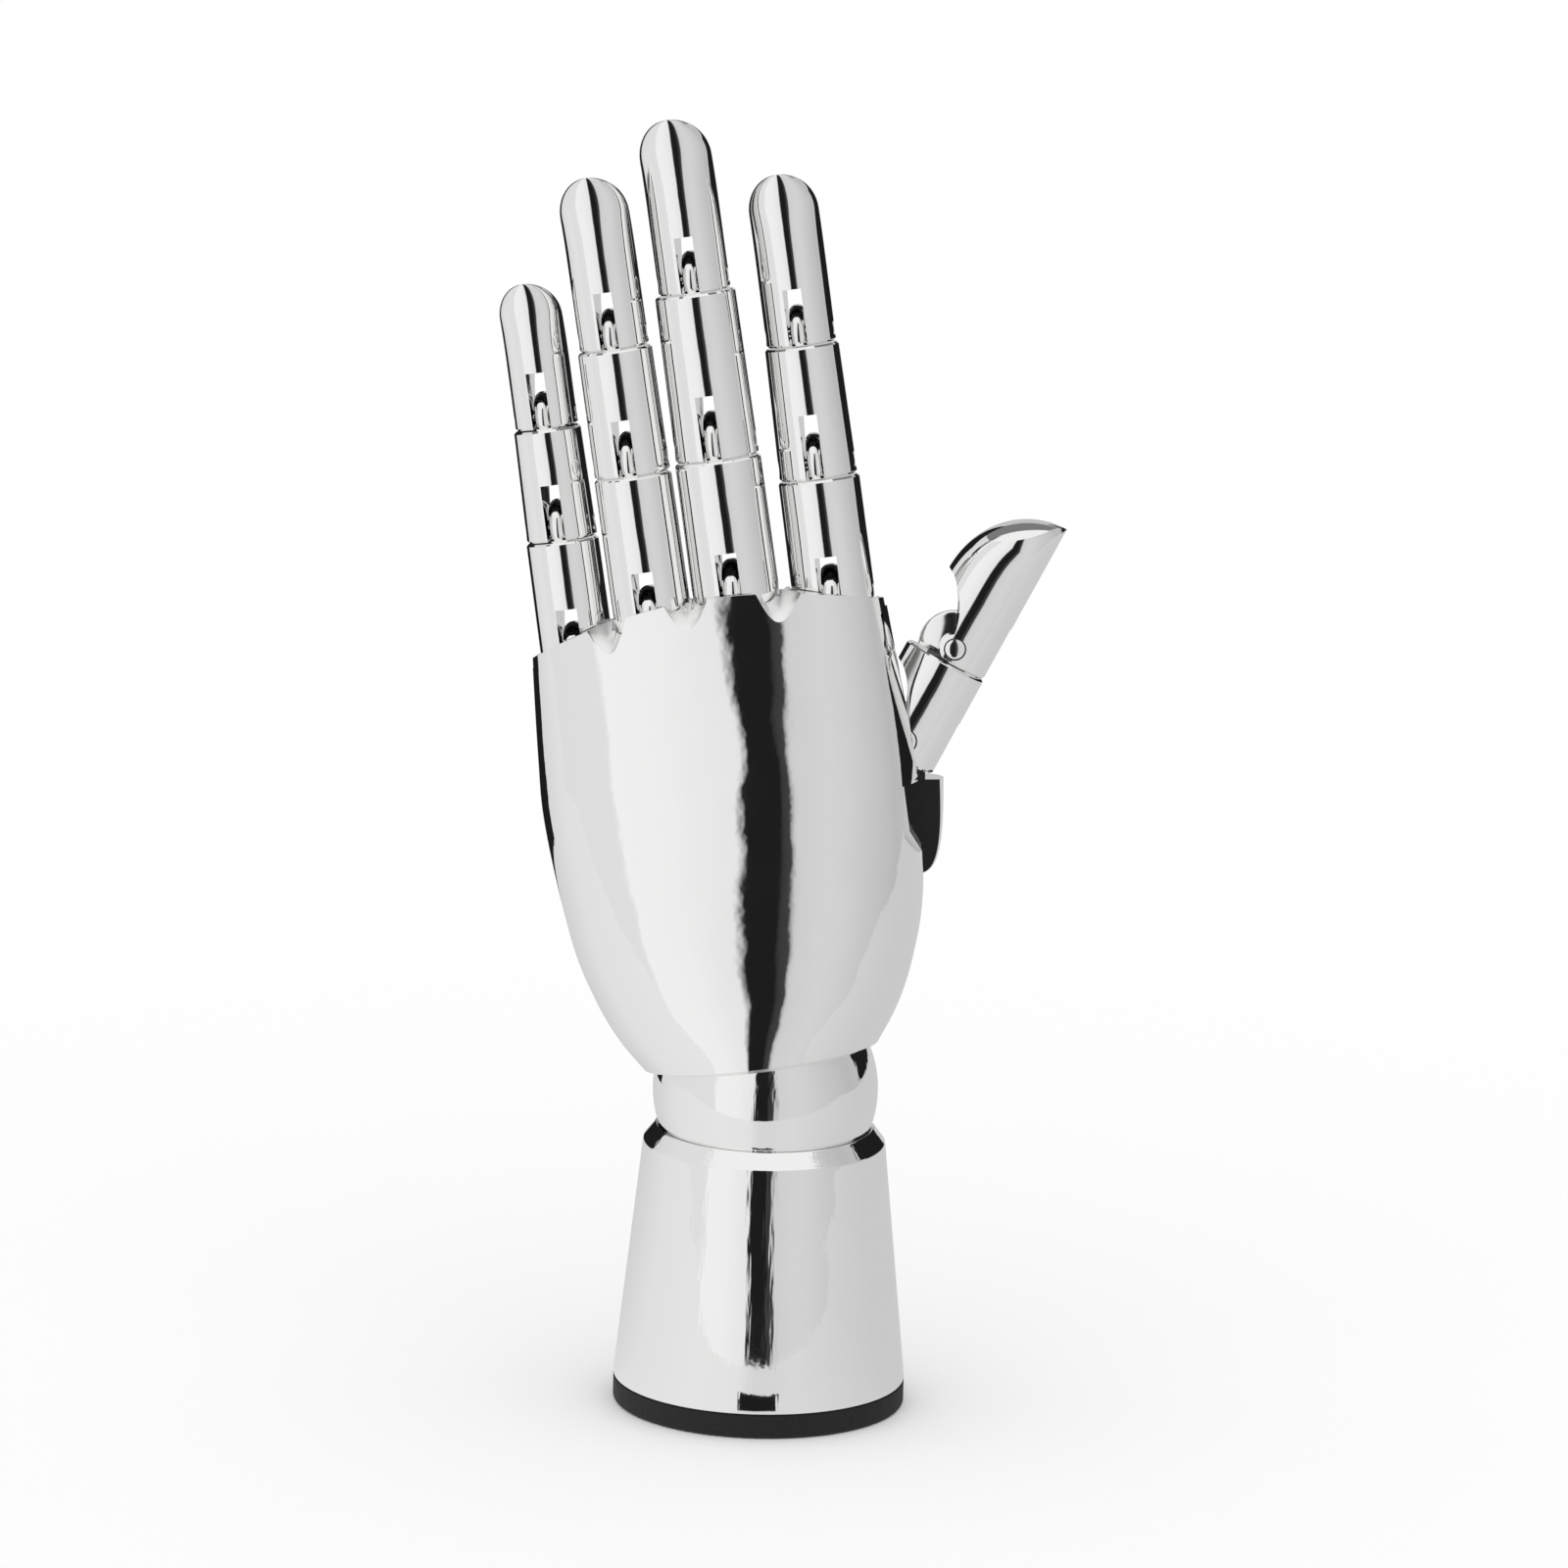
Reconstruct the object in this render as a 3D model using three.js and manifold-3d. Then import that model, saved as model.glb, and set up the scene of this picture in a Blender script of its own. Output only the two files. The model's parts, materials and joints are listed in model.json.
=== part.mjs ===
// An articulated display hand on a round wrist base, in millimetres.
// +Z is up, the back of the hand faces -Y and its thumb points towards +X.
// The origin is the middle of the base's underside, and the pose is the one the hand is shown in.
import * as THREE from "three";
import { mergeVertices } from "three/addons/utils/BufferGeometryUtils.js";
import Module from "manifold-3d";

const wasm = await Module();
wasm.setup();

// Fits
const gap = 0.3; // between two pieces that seat on or turn in each other
const sweepGap = 0.5; // round a piece that folds past a curved wall
const reach = 200; // longer than any piece, for cutters that pass right through
const past = 1; // how far a shorter cutter runs past the surface that it opens

// Wrist base and its pad
const baseRadius = 34;
const padHeight = 5.6;
const padEdge = 0.8;
const baseTopRadius = 28.2;
const baseHeight = 62.9; // to the start of the rim's slope
const rimRise = 3.6;
const baseEdge = 0.6;
const baseBoreRadius = 8;

// Wrist ball
const ballRadius = 26.2;
const ballAboveRim = 8.8;
const ballBoreRadius = 6;
const ballBoreFlare = 6; // how much wider the bore is at the ball's two ends

// How the hand stands on the ball
const leanToLittleFinger = 8.5; // degrees
const leanToPalmSide = 7.5;
const turnOnWrist = 7;

// Palm, with heights measured from the ball's centre along the hand
const palmBottom = 7.8;
const palmBottomRadius = 27.4;
const palmHalfWidth = 44;
const palmTopHalfWidth = 41.2;
const palmTop = 116.5;
const palmSpare = 3; // of its skin above that, cut off along the arched top edge
const palmTopArcRadius = 112;
const palmTopArcMiddle = 6; // towards the thumb from the hand's middle
const palmWidening = [[8, 0.33], [18, 0.6], [32, 0.83]]; // height above its foot, share of it done
const palmWidestHeight = 58;
const palmNarrowing = [76, 0.4]; // height above its foot, and how much narrower it is there
const palmBackDepth = 27.6;
const palmBackThinning = [[14, 0], [40, 0.8], [72, 5]]; // height above its foot, and how much thinner it is
const palmBackDepthAtTop = 15.6;
const palmFrontDepth = 26;
const palmFrontThinning = [[14, -1.2], [36, 0], [72, 8], [96, 15.9]];
const palmFrontDepthAtTop = 9.5;
const palmGrownHeight = 34; // above its foot, where the round foot has turned into a palm
const palmPowers = [2.3, 2.5, 3]; // of the outline's curve: back, palm side and the thumb's corner of it
const palmWidestDepth = 5; // the widest line lies this far towards the palm side
const palmBoreRadius = 6.5;
const webRadius = 5.2; // of the rounded nick between two knuckles, at the palm's top edge
const webDepth = 8.2;
const webSlope = 0.45;
const webTipShare = 0.7; // of the nick's radius there, where its blunt tip starts
const webLean = 30; // degrees that the nick leans back into the palm

// Joints: each upper piece is a fork with a pin, on a tongue let into the piece below
const pinHeightShare = 0.185; // of a piece's depth, from the joint's seam to its pin
const tongueRadiusShare = 0.42;
const tongueEdge = 1.2;
const tenonDepth = 5;
const tenonShare = 0.6; // of the tongue's radius, half the tenon's length
const pinRadius = 1.6;
const pinRecess = 0.4;
const jointTongue = 3.7;
const knuckleTongue = 4.5;
const seamEdge = 0.5; // broken edge of each piece at its seams
const sidesRound = 28;
const pinSides = 12;

// Fingers, from the little finger to the index finger. Across is the share of the palm's half width
// from its middle line, seam is how far the knuckle's seam lies below the palm's top, and wall is
// how thick the palm's back is behind the knuckle.
const fingers = {
  little: {
    across: -0.702,
    seam: 13.1,
    wall: 3.2,
    turn: 1.8,
    lean: 0.5,
    lengths: [29.1, 25.9, 34.1],
    widths: [17.2, 16.9, 16.4, 15.6, 14.6],
    windows: [13.5, 13.3, 13.3],
  },
  ring: {
    across: -0.264,
    seam: 6.8,
    wall: 2,
    turn: 0.3,
    lean: 0.9,
    lengths: [36.3, 29.3, 40.3],
    widths: [18.2, 18, 17.6, 17.3, 16.1],
    windows: [14.2, 13.3, 13.5],
  },
  middle: {
    across: 0.186,
    seam: 4,
    wall: 2,
    turn: 0,
    lean: 0.6,
    lengths: [34.9, 38.4, 40.6],
    widths: [20.2, 20, 19.4, 18.7, 16.7],
    windows: [13.6, 15.2, 13.3],
  },
  index: {
    across: 0.684,
    seam: 7.7,
    wall: 3.2,
    turn: -2,
    lean: 0.2,
    lengths: [31.1, 30.7, 40.1],
    widths: [19.2, 18.9, 18.1, 17.2, 16.2],
    windows: [13.4, 15.2, 13.4],
  },
};
const fingerDepthShare = 0.96; // of a piece's width
const noseShare = 0.55; // of a piece's width, from the tip to where its sides start to round
const softShare = 1.3; // of a piece's width, from the tip to where its palm side starts to round
const softPower = 2.2; // of the curve that the palm side follows to the tip
const tipShare = 0.06; // of the full section, left flat at the very tip
const hookDepth = 8.4; // of the fork's hollow on the palm side, for a piece as deep as forkDepth
const hookHeight = 15;
const hookBend = [2.8, 10];
const forkDepth = 20;

// Thumb: its root is a bullet-shaped plug that turns in a pocket of the palm
const thumbInset = 3.4; // of the thumb's lower pin from the palm's widest line
const thumbDeep = 12.5;
const thumbBelowTop = 39.9; // of that pin under the palm's top
const thumbPinHeight = 9.4; // of that pin above the plug's top
const thumbPieceDrop = 4.4; // of the thumb's lower piece, from that pin down to its seam
const thumbTurn = 8; // degrees that the thumb points towards the palm side
const thumbOpening = 36; // degrees from the hand's line to the thumb's
const rootTilt = 7; // degrees from the hand's line to the plug's
const rootHeight = 22.5;
const rootRadius = 9.4;
const rootPointed = 0.7; // power that draws the plug's lower end out
const rootFullness = 0.4; // power that fills its sides
const rootFaceAway = 4.2; // from the plug's middle line to its flat face, at the top
const rootFaceLean = 4; // degrees
const pocketInset = 3.4; // the palm's edge is cut back by this beside the plug
const pocketLipRise = 11.7; // height of the cut's straight part
const pocketCutRise = 22.3;
const pocketCutSlope = 0.4;
const hollowRadius = 9.8; // of the hollow that the thumb turns in, above the plug
const hollowLean = 8; // degrees from the plug's line to the hollow's inner wall
const hollowAway = 10.7; // from the thumb's lower pin to that wall
const pivotRadius = 1.2;
const pivotInPalm = 7;
const pivotInRoot = 7;
const thumb = {
  lengths: [24.5, 40],
  widths: [17.6, 17.2, 17, 16.6],
  depths: [20.2, 20, 19.8, 19.6],
  windows: [13.5, 13.4],
};

// Wrist spring, hooked on a cross pin in the base and on an eye screwed into the palm
const coilRadius = 3.4;
const wireRadius = 0.6;
const coilTurns = 14;
const coilBottom = -30; // from the ball's centre
const coilTop = 20;
const springPinHeight = 9.5;
const springPinRadius = 1.5;
const springPinLength = 30;
const eyeHeight = 37; // above the ball's centre
const eyeRadius = 3; // to the middle of its wire
const eyeWire = 0.9;
const shankRadius = 1.4;
const shankLength = 12; // above the eye
const eyeRoom = 1; // from the eye to the end of the palm's bore

// Finishes
const silver = new THREE.MeshStandardMaterial({ color: 0xe6e6e4, roughness: 0.06, metalness: 1 });
const steel = new THREE.MeshStandardMaterial({ color: 0xb9b9b8, roughness: 0.2, metalness: 1 });
const blackPad = new THREE.MeshStandardMaterial({ color: 0x161616, roughness: 0.8, metalness: 0 });

// Places that follow from the sizes above
const rimHeight = baseHeight + rimRise;
const ballHeight = rimHeight + ballAboveRim;
const socketRadius = ballRadius + gap;
const palmBoreTop = eyeHeight + eyeRadius + eyeWire + eyeRoom;
const thumbAcross = palmHalfWidth - thumbInset;
const thumbHeight = palmTop - thumbBelowTop;
const pocketLip = palmHalfWidth - pocketInset;

// A closed geometry as a solid that can be cut and joined
function solidOf(geometry) {
  const bare = geometry.clone();
  bare.deleteAttribute("normal");
  bare.deleteAttribute("uv");
  const merged = mergeVertices(bare);
  const corners = merged.index.array;
  const faces = [];
  for (let i = 0; i < corners.length; i += 3) {
    const [a, b, c] = corners.slice(i, i + 3);
    if (a !== b && b !== c && c !== a) faces.push(a, b, c);
  }
  const vertProperties = merged.attributes.position.array;
  const triVerts = new Uint32Array(faces);
  return new wasm.Manifold(new wasm.Mesh({ numProp: 3, vertProperties, triVerts }));
}

function geometryOf(solid) {
  const mesh = solid.getMesh();
  const geometry = new THREE.BufferGeometry();
  geometry.setAttribute("position", new THREE.BufferAttribute(new Float32Array(mesh.vertProperties), 3));
  geometry.setIndex(new THREE.BufferAttribute(new Uint32Array(mesh.triVerts), 1));
  geometry.computeVertexNormals();
  return geometry;
}

function named(name, solid, material) {
  const mesh = new THREE.Mesh(geometryOf(solid), material);
  mesh.name = name;
  return mesh;
}

// Skin over rings of points that run anticlockwise seen from above, closed at both ends
function loft(rings) {
  const count = rings[0].length;
  const points = rings.flat();
  const faces = [];
  for (let level = 0; level + 1 < rings.length; level++) {
    for (let i = 0; i < count; i++) {
      const a = level * count + i;
      const b = level * count + ((i + 1) % count);
      faces.push(a, b, b + count, a, b + count, a + count);
    }
  }
  const ends = [rings[0], rings[rings.length - 1]];
  ends.forEach((ring, end) => {
    const middle = ring.reduce((sum, p) => sum.add(p), new THREE.Vector3()).divideScalar(count);
    const start = end ? points.length - 1 - count : 0;
    points.push(middle);
    for (let i = 0; i < count; i++) {
      const pair = [start + i, start + ((i + 1) % count)];
      faces.push(points.length - 1, ...(end ? pair : pair.reverse()));
    }
  });
  const geometry = new THREE.BufferGeometry().setFromPoints(points);
  geometry.setIndex(faces);
  return geometry;
}

// An oval ring at one height: half its width, half its depth and its shift towards the palm side
function ovalRing(halfWidth, halfDepth, height, shift = 0) {
  return Array.from({ length: sidesRound }, (_, i) => {
    const angle = (2 * Math.PI * i) / sidesRound;
    return new THREE.Vector3(halfWidth * Math.cos(angle), halfDepth * Math.sin(angle) + shift, height);
  });
}

// A shape drawn as (depth, height), pushed through from side to side
function throughSideways(shape, width) {
  const options = { depth: width, bevelEnabled: false, curveSegments: 8 };
  const geometry = new THREE.ExtrudeGeometry(shape, options).translate(0, 0, -width / 2);
  const turn = new THREE.Matrix4();
  turn.makeBasis(new THREE.Vector3(0, 1, 0), new THREE.Vector3(0, 0, 1), new THREE.Vector3(1, 0, 0));
  return solidOf(geometry.applyMatrix4(turn));
}

// A block between two corners
function block(low, high) {
  const size = high.map((value, i) => value - low[i]);
  const geometry = new THREE.BoxGeometry(...size);
  return solidOf(geometry.translate(...high.map((value, i) => (value + low[i]) / 2)));
}

// A round bar along X, centred on the origin
function barAcross(radius, length, sides = pinSides) {
  return solidOf(new THREE.CylinderGeometry(radius, radius, length, sides).rotateZ(Math.PI / 2));
}

// A round bar along Z between two heights
function barUp(radius, low, high, x = 0, y = 0, sides = pinSides) {
  const geometry = new THREE.CylinderGeometry(radius, radius, high - low, sides).rotateX(Math.PI / 2);
  return solidOf(geometry.translate(x, y, (low + high) / 2));
}

// A solid of revolution about Z from a profile of (radius, height), drawn upwards on its outside
function turned(profile, sides) {
  const points = profile.map(([radius, height]) => new THREE.Vector2(radius, height));
  return solidOf(new THREE.LatheGeometry(points, sides).rotateX(Math.PI / 2));
}

// Points of an arc of a circle about (0, middle), from one height to another
function arcPoints(radius, middle, from, to, steps) {
  const start = Math.asin((from - middle) / radius);
  const end = Math.asin((to - middle) / radius);
  return Array.from({ length: steps + 1 }, (_, i) => {
    const angle = start + ((end - start) * i) / steps;
    return [radius * Math.cos(angle), middle + radius * Math.sin(angle)];
  });
}

// Base: a solid taper with a ball socket in its top and a bore for the spring
function wristBase() {
  const socketBottom = ballHeight - Math.sqrt(socketRadius ** 2 - baseBoreRadius ** 2);
  const socket = arcPoints(socketRadius, ballHeight, rimHeight, socketBottom, 5);
  const profile = [
    [baseBoreRadius, padHeight],
    [baseRadius - baseEdge, padHeight],
    [baseRadius, padHeight + baseEdge],
    [baseTopRadius, baseHeight],
    ...socket,
    [baseBoreRadius, padHeight],
  ];
  const pinSlot = block(
    [-springPinLength / 2 - gap, -springPinRadius - gap, 0],
    [springPinLength / 2 + gap, springPinRadius + gap, springPinHeight + springPinRadius + gap],
  );
  return turned(profile, 48).subtract(pinSlot);
}

function basePad() {
  const profile = [
    [0, 0],
    [baseRadius - padEdge, 0],
    [baseRadius, padEdge],
    [baseRadius, padHeight],
    [0, padHeight],
  ];
  return turned(profile, 48);
}

function wristBall() {
  const end = Math.sqrt(ballRadius ** 2 - (ballBoreRadius + ballBoreFlare) ** 2);
  const profile = [
    [ballBoreRadius, 0],
    [ballBoreRadius + ballBoreFlare, -end],
    ...arcPoints(ballRadius, 0, -end, end, 12).slice(1, -1),
    [ballBoreRadius + ballBoreFlare, end],
    [ballBoreRadius, 0],
  ];
  return turned(profile, 48);
}

// A joint's sizes, which follow from the depth of the piece above it
function jointOf(depth, tongueWidth, window) {
  const pinHeight = pinHeightShare * depth;
  return { depth, tongueWidth, window, pinHeight, tongueRadius: tongueRadiusShare * depth };
}

// The tongue of a joint: a disc on the pin, with a tenon that goes down into the piece below
function tongue(joint) {
  const { tongueRadius, tongueWidth, pinHeight } = joint;
  const half = tongueWidth / 2;
  const rim = tongueRadius - tongueEdge;
  const profile = [
    [0, -half],
    [rim, -half],
    [tongueRadius, -half + tongueEdge],
    [tongueRadius, half - tongueEdge],
    [rim, half],
    [0, half],
  ];
  const points = profile.map(([radius, height]) => new THREE.Vector2(radius, height));
  const disc = solidOf(new THREE.LatheGeometry(points, 24).rotateZ(Math.PI / 2));
  const shoulder = gap / 2 - pinHeight;
  const tenonHalf = tenonShare * tongueRadius;
  const below = block([-reach, -reach, -reach], [reach, reach, shoulder]);
  const tenon = block([-half, -tenonHalf, -pinHeight - tenonDepth], [half, tenonHalf, -tongueRadius / 3]);
  return disc.subtract(below).add(tenon).subtract(barAcross(pinRadius + gap, reach));
}

// The hole in the piece below that a tongue's tenon goes into, from that tongue's pin
function mortise(joint) {
  const half = joint.tongueWidth / 2 + gap;
  const halfLength = tenonShare * joint.tongueRadius + gap;
  const bottom = -joint.pinHeight - tenonDepth - gap;
  return block([-half, -halfLength, bottom], [half, halfLength, joint.pinHeight]);
}

// The side view of a fork: flat at the back, round under the pin and hollowed on the palm side,
// so that it can fold over the piece below
function forkSide(joint, top) {
  const { depth, pinHeight } = joint;
  const bottom = gap / 2 - pinHeight;
  const share = depth / forkDepth;
  const arcEnd = Math.PI / 3;
  const hook = [hookDepth * share, hookHeight * share];
  const bend = hookBend.map((value) => value * share);
  const shape = new THREE.Shape();
  shape.moveTo(-depth, bottom);
  shape.lineTo(0, bottom);
  shape.absarc(0, 0, -bottom, -Math.PI / 2, arcEnd, false);
  shape.quadraticCurveTo(...bend, ...hook);
  shape.lineTo(depth, hook[1] + (depth - hook[0]) / 2);
  shape.lineTo(depth, top);
  shape.lineTo(-depth, top);
  return shape;
}

// What turns a plain piece into a fork: the side view, the window for the tongue and the pin's hole
function forked(solid, joint, top) {
  const half = joint.tongueWidth / 2 + gap;
  const window = block([-half, -reach, -reach], [half, reach, joint.window - joint.pinHeight]);
  return solid
    .intersect(throughSideways(forkSide(joint, top + past), reach))
    .subtract(window)
    .subtract(barAcross(pinRadius + gap, reach));
}

// A straight piece of a finger, from its own pin: rings at its two seams, with broken edges
function straightPiece(joint, next, length, widths, depths) {
  const bottom = gap / 2 - joint.pinHeight;
  const top = length - next.pinHeight - gap / 2;
  const ring = (i, height, inset) => ovalRing(widths[i] / 2 - inset, depths[i] / 2 - inset, height);
  const body = solidOf(
    loft([
      ring(0, bottom, seamEdge),
      ring(0, bottom + seamEdge, 0),
      ring(1, top - seamEdge, 0),
      ring(1, top, seamEdge),
    ]),
  );
  return forked(body, joint, top).subtract(mortise(next).translate(0, 0, length));
}

// The end piece of a finger: its back runs straight to the tip, and the palm side rounds over to it
function endPiece(joint, length, width, depth) {
  const bottom = gap / 2 - joint.pinHeight;
  const top = length - joint.pinHeight;
  const noseHeight = top - width * noseShare;
  const rings = [
    ovalRing(width / 2 - seamEdge, depth / 2 - seamEdge, bottom),
    ovalRing(width / 2, depth / 2, bottom + seamEdge),
  ];
  const steps = 7;
  const softStart = top - width * softShare;
  for (let i = 0; i <= steps; i++) {
    const height = softStart + (top - softStart) * Math.sin((Math.PI / 2) * (i / steps));
    const nose = Math.max(0, (height - noseHeight) / (top - noseHeight));
    const round = Math.max(tipShare, Math.sqrt(Math.max(0, 1 - nose ** 2)));
    const along = (height - softStart) / (top - softStart);
    const thin = Math.max(tipShare, Math.sqrt(Math.max(0, 1 - along ** softPower)));
    const halfDepth = (depth / 2) * thin;
    rings.push(ovalRing((width / 2) * round, halfDepth, height, halfDepth - depth / 2));
  }
  return forked(solidOf(loft(rings)), joint, top);
}

// The palm's outline at a height: a round foot that widens, thins and flattens towards the knuckles
const palmLoftTop = palmTop + palmSpare;
const palmGrowth = palmHalfWidth - palmBottomRadius;
const palmCurve = (foot, steps, top) => {
  const places = [[0, foot], ...steps, [palmLoftTop - palmBottom, top]];
  const points = places.map(([height, value]) => new THREE.Vector2(palmBottom + height, value));
  return new THREE.SplineCurve(points);
};
const palmWidths = palmCurve(
  palmBottomRadius,
  [
    ...palmWidening.map(([height, share]) => [height, palmBottomRadius + share * palmGrowth]),
    [palmWidestHeight, palmHalfWidth],
    [palmNarrowing[0], palmHalfWidth - palmNarrowing[1]],
  ],
  palmTopHalfWidth,
);
const thinned = (depth, steps) => steps.map(([height, less]) => [height, depth - less]);
const backSteps = thinned(palmBackDepth, palmBackThinning);
const frontSteps = thinned(palmFrontDepth, palmFrontThinning);
const palmBacks = palmCurve(palmBottomRadius, backSteps, palmBackDepthAtTop);
const palmFronts = palmCurve(palmBottomRadius, frontSteps, palmFrontDepthAtTop);

// The value of a palm curve at a height
function at(curve, height) {
  const points = curve.points;
  const last = points.length - 1;
  let i = 0;
  while (i < last - 1 && height > points[i + 1].x) i++;
  let low = i / last;
  let high = (i + 1) / last;
  for (let step = 0; step < 24; step++) {
    const middle = (low + high) / 2;
    if (curve.getPoint(middle).x < height) low = middle;
    else high = middle;
  }
  return curve.getPoint((low + high) / 2).y;
}

function palmRing(height, sides) {
  const grown = Math.min(1, (height - palmBottom) / palmGrownHeight);
  const widest = palmWidestDepth * grown;
  const width = at(palmWidths, height);
  const back = at(palmBacks, height) + widest;
  const front = at(palmFronts, height) - widest;
  const [backPower, frontPower, thumbSidePower] = palmPowers.map((power) => 2 + (power - 2) * grown);
  return Array.from({ length: sides }, (_, i) => {
    const angle = (2 * Math.PI * i) / sides;
    const [c, s] = [Math.cos(angle), Math.sin(angle)];
    const power = s < 0 ? backPower : c > 0 ? thumbSidePower : frontPower;
    const x = width * Math.sign(c) * Math.abs(c) ** (2 / power);
    const y = (s < 0 ? back : front) * Math.sign(s) * Math.abs(s) ** (2 / power);
    return new THREE.Vector3(x, y + widest, height);
  });
}

// How deep the back of the palm lies at a place across it, near its top
function palmBackAt(across, height) {
  const back = at(palmBacks, height) + palmWidestDepth;
  const share = Math.abs(across) / at(palmWidths, height);
  return palmWidestDepth - back * (1 - share ** palmPowers[0]) ** (1 / palmPowers[0]);
}

// Each finger's joints and the place of its knuckle pin, behind the palm's back wall
for (const finger of Object.values(fingers)) {
  finger.across *= palmHalfWidth;
  finger.seam = palmTop - finger.seam;
  const depths = finger.widths.map((width) => width * fingerDepthShare);
  finger.depths = depths;
  finger.joints = [
    jointOf(depths[0], knuckleTongue, finger.windows[0]),
    jointOf(depths[2], jointTongue, finger.windows[1]),
    jointOf(depths[4], jointTongue, finger.windows[2]),
  ];
  const { pinHeight, depth } = finger.joints[0];
  finger.sweep = Math.hypot(depth / 2, pinHeight) + sweepGap; // what the knuckle needs when it folds
  finger.deep = palmBackAt(finger.across, finger.seam) + finger.wall + finger.sweep;
}
const fingerList = Object.values(fingers);

// A knuckle's seat in the palm, in the finger's own frame: open above and on the palm side
function knuckleSeat(finger) {
  const { pinHeight } = finger.joints[0];
  const floor = -pinHeight - gap / 2;
  const side = finger.widths[0] / 2 + gap;
  const well = loft([0, reach].map((height) => ovalRing(side, finger.sweep, floor + height)));
  return solidOf(well).add(block([-side, floor - sweepGap, floor], [side, reach, floor + reach]));
}

// The middle of the space between two neighbouring knuckles
function midGap(left, right) {
  return (left.across + left.widths[0] / 2 + right.across - right.widths[0] / 2) / 2;
}

// Clears what stands beside each knuckle on the palm side, down to its own floor
function besideKnuckles() {
  return fingerList.map((finger, i) => {
    const left = i > 0 ? midGap(fingerList[i - 1], finger) : -reach;
    const right = i + 1 < fingerList.length ? midGap(finger, fingerList[i + 1]) : reach;
    return block([left, finger.deep, finger.seam - gap / 2], [right, reach, reach]);
  });
}

// The rounded nick in the back of the palm's top edge between two knuckles
function webNick(left, right) {
  const across = midGap(left, right);
  const tipRadius = webRadius - webSlope * webDepth;
  const profile = [
    [0, -webDepth - tipRadius / 2],
    [tipRadius * webTipShare, -webDepth],
    [webRadius, 0],
    [webRadius + webSlope * webDepth, webDepth],
    [0, webDepth],
  ];
  return turned(profile, 24)
    .rotate([-webLean, 0, 0])
    .translate(across, palmBackAt(across, palmTop), topEdgeAt(across));
}

function topEdgeAt(across) {
  const away = across - palmTopArcMiddle;
  return palmTop - palmTopArcRadius + Math.sqrt(palmTopArcRadius ** 2 - away ** 2);
}

// What stays of the palm under its arched top edge
function underTopEdge() {
  const shape = new THREE.Shape();
  const edge = palmHalfWidth + past;
  shape.moveTo(-edge, 0);
  shape.lineTo(edge, 0);
  const steps = 20;
  for (let i = 0; i <= steps; i++) {
    const across = edge - (2 * edge * i) / steps;
    shape.lineTo(across, topEdgeAt(across));
  }
  const geometry = new THREE.ExtrudeGeometry(shape, { depth: reach, bevelEnabled: false });
  return solidOf(geometry.translate(0, 0, -reach / 2).rotateX(Math.PI / 2));
}

// The plug's frame in the palm, turned about its own line by some degrees: its origin is the plug's top
function plugPlace(turn) {
  const place = new THREE.Matrix4();
  const tilt = THREE.MathUtils.degToRad(rootTilt);
  place.makeRotationFromEuler(new THREE.Euler(0, tilt, THREE.MathUtils.degToRad(turn), "XYZ"));
  const top = new THREE.Vector3(0, 0, -thumbPinHeight).applyMatrix4(place);
  return place.setPosition(top.add(new THREE.Vector3(thumbAcross, thumbDeep, thumbHeight)));
}

// The plug's profile, grown by a clearance for the pocket that it turns in
function rootProfile(grown) {
  const steps = 8;
  const points = Array.from({ length: steps }, (_, i) => {
    const angle = (Math.PI / 2) * ((i + 1) / steps);
    const height = -rootHeight * Math.cos(angle) ** rootPointed;
    return [(rootRadius + grown) * Math.sin(angle) ** rootFullness, height - grown * Math.cos(angle)];
  });
  return [[0, -rootHeight - grown], ...points, [0, 0]];
}

function thumbRoot(joint) {
  const face = new THREE.BoxGeometry(reach, reach, reach).translate(0, -reach / 2 - rootFaceAway, 0);
  face.rotateX(THREE.MathUtils.degToRad(rootFaceLean));
  const hole = barUp(pivotRadius + gap, -rootHeight - past, pivotInRoot + gap - rootHeight);
  const seat = mortise(joint).translate(0, 0, thumbPinHeight).rotate([0, 0, 90]);
  return turned(rootProfile(0), 32).subtract(solidOf(face)).subtract(hole).subtract(seat);
}

// The room for the thumb above the plug: round at its foot and open outwards and to the palm side
function thumbHollow() {
  const round = barUp(hollowRadius, -gap, reach, 0, 0, 36);
  const outward = block([0, -hollowRadius, -gap], [reach, reach, reach]);
  const palmSide = block([-hollowRadius, 0, -gap], [reach, reach, reach]);
  const inward = new THREE.BoxGeometry(reach, reach, 2 * reach).translate(-hollowAway - reach / 2, 0, 0);
  inward.rotateY(THREE.MathUtils.degToRad(hollowLean)).translate(0, 0, thumbPinHeight);
  return round.add(outward).add(palmSide).subtract(solidOf(inward));
}

// Cuts the palm's edge back on the back of the hand, so that the plug's flat face shows
function pocketCut() {
  const top = thumbHeight - thumbPinHeight;
  const shape = new THREE.Shape();
  shape.moveTo(pocketLip, top);
  shape.lineTo(pocketLip, top - pocketLipRise);
  shape.lineTo(pocketLip + pocketCutSlope * (pocketCutRise - pocketLipRise), top - pocketCutRise);
  shape.lineTo(reach, top - pocketCutRise);
  shape.lineTo(reach, top);
  const geometry = new THREE.ExtrudeGeometry(shape, { depth: reach, bevelEnabled: false });
  return solidOf(geometry.rotateX(Math.PI / 2).translate(0, thumbDeep, 0));
}

function palmWithoutThumb(solid) {
  const below = barUp(pivotRadius + gap, -rootHeight - pivotInPalm - gap, -rootHeight);
  const room = turned(rootProfile(gap), 32).add(barUp(rootRadius + gap, -past, gap, 0, 0, 32));
  const place = plugPlace(0).elements;
  const cutters = [room, below, thumbHollow()].map((cutter) => cutter.transform(place));
  return [...cutters, pocketCut()].reduce((left, cutter) => left.subtract(cutter), solid);
}

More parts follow.
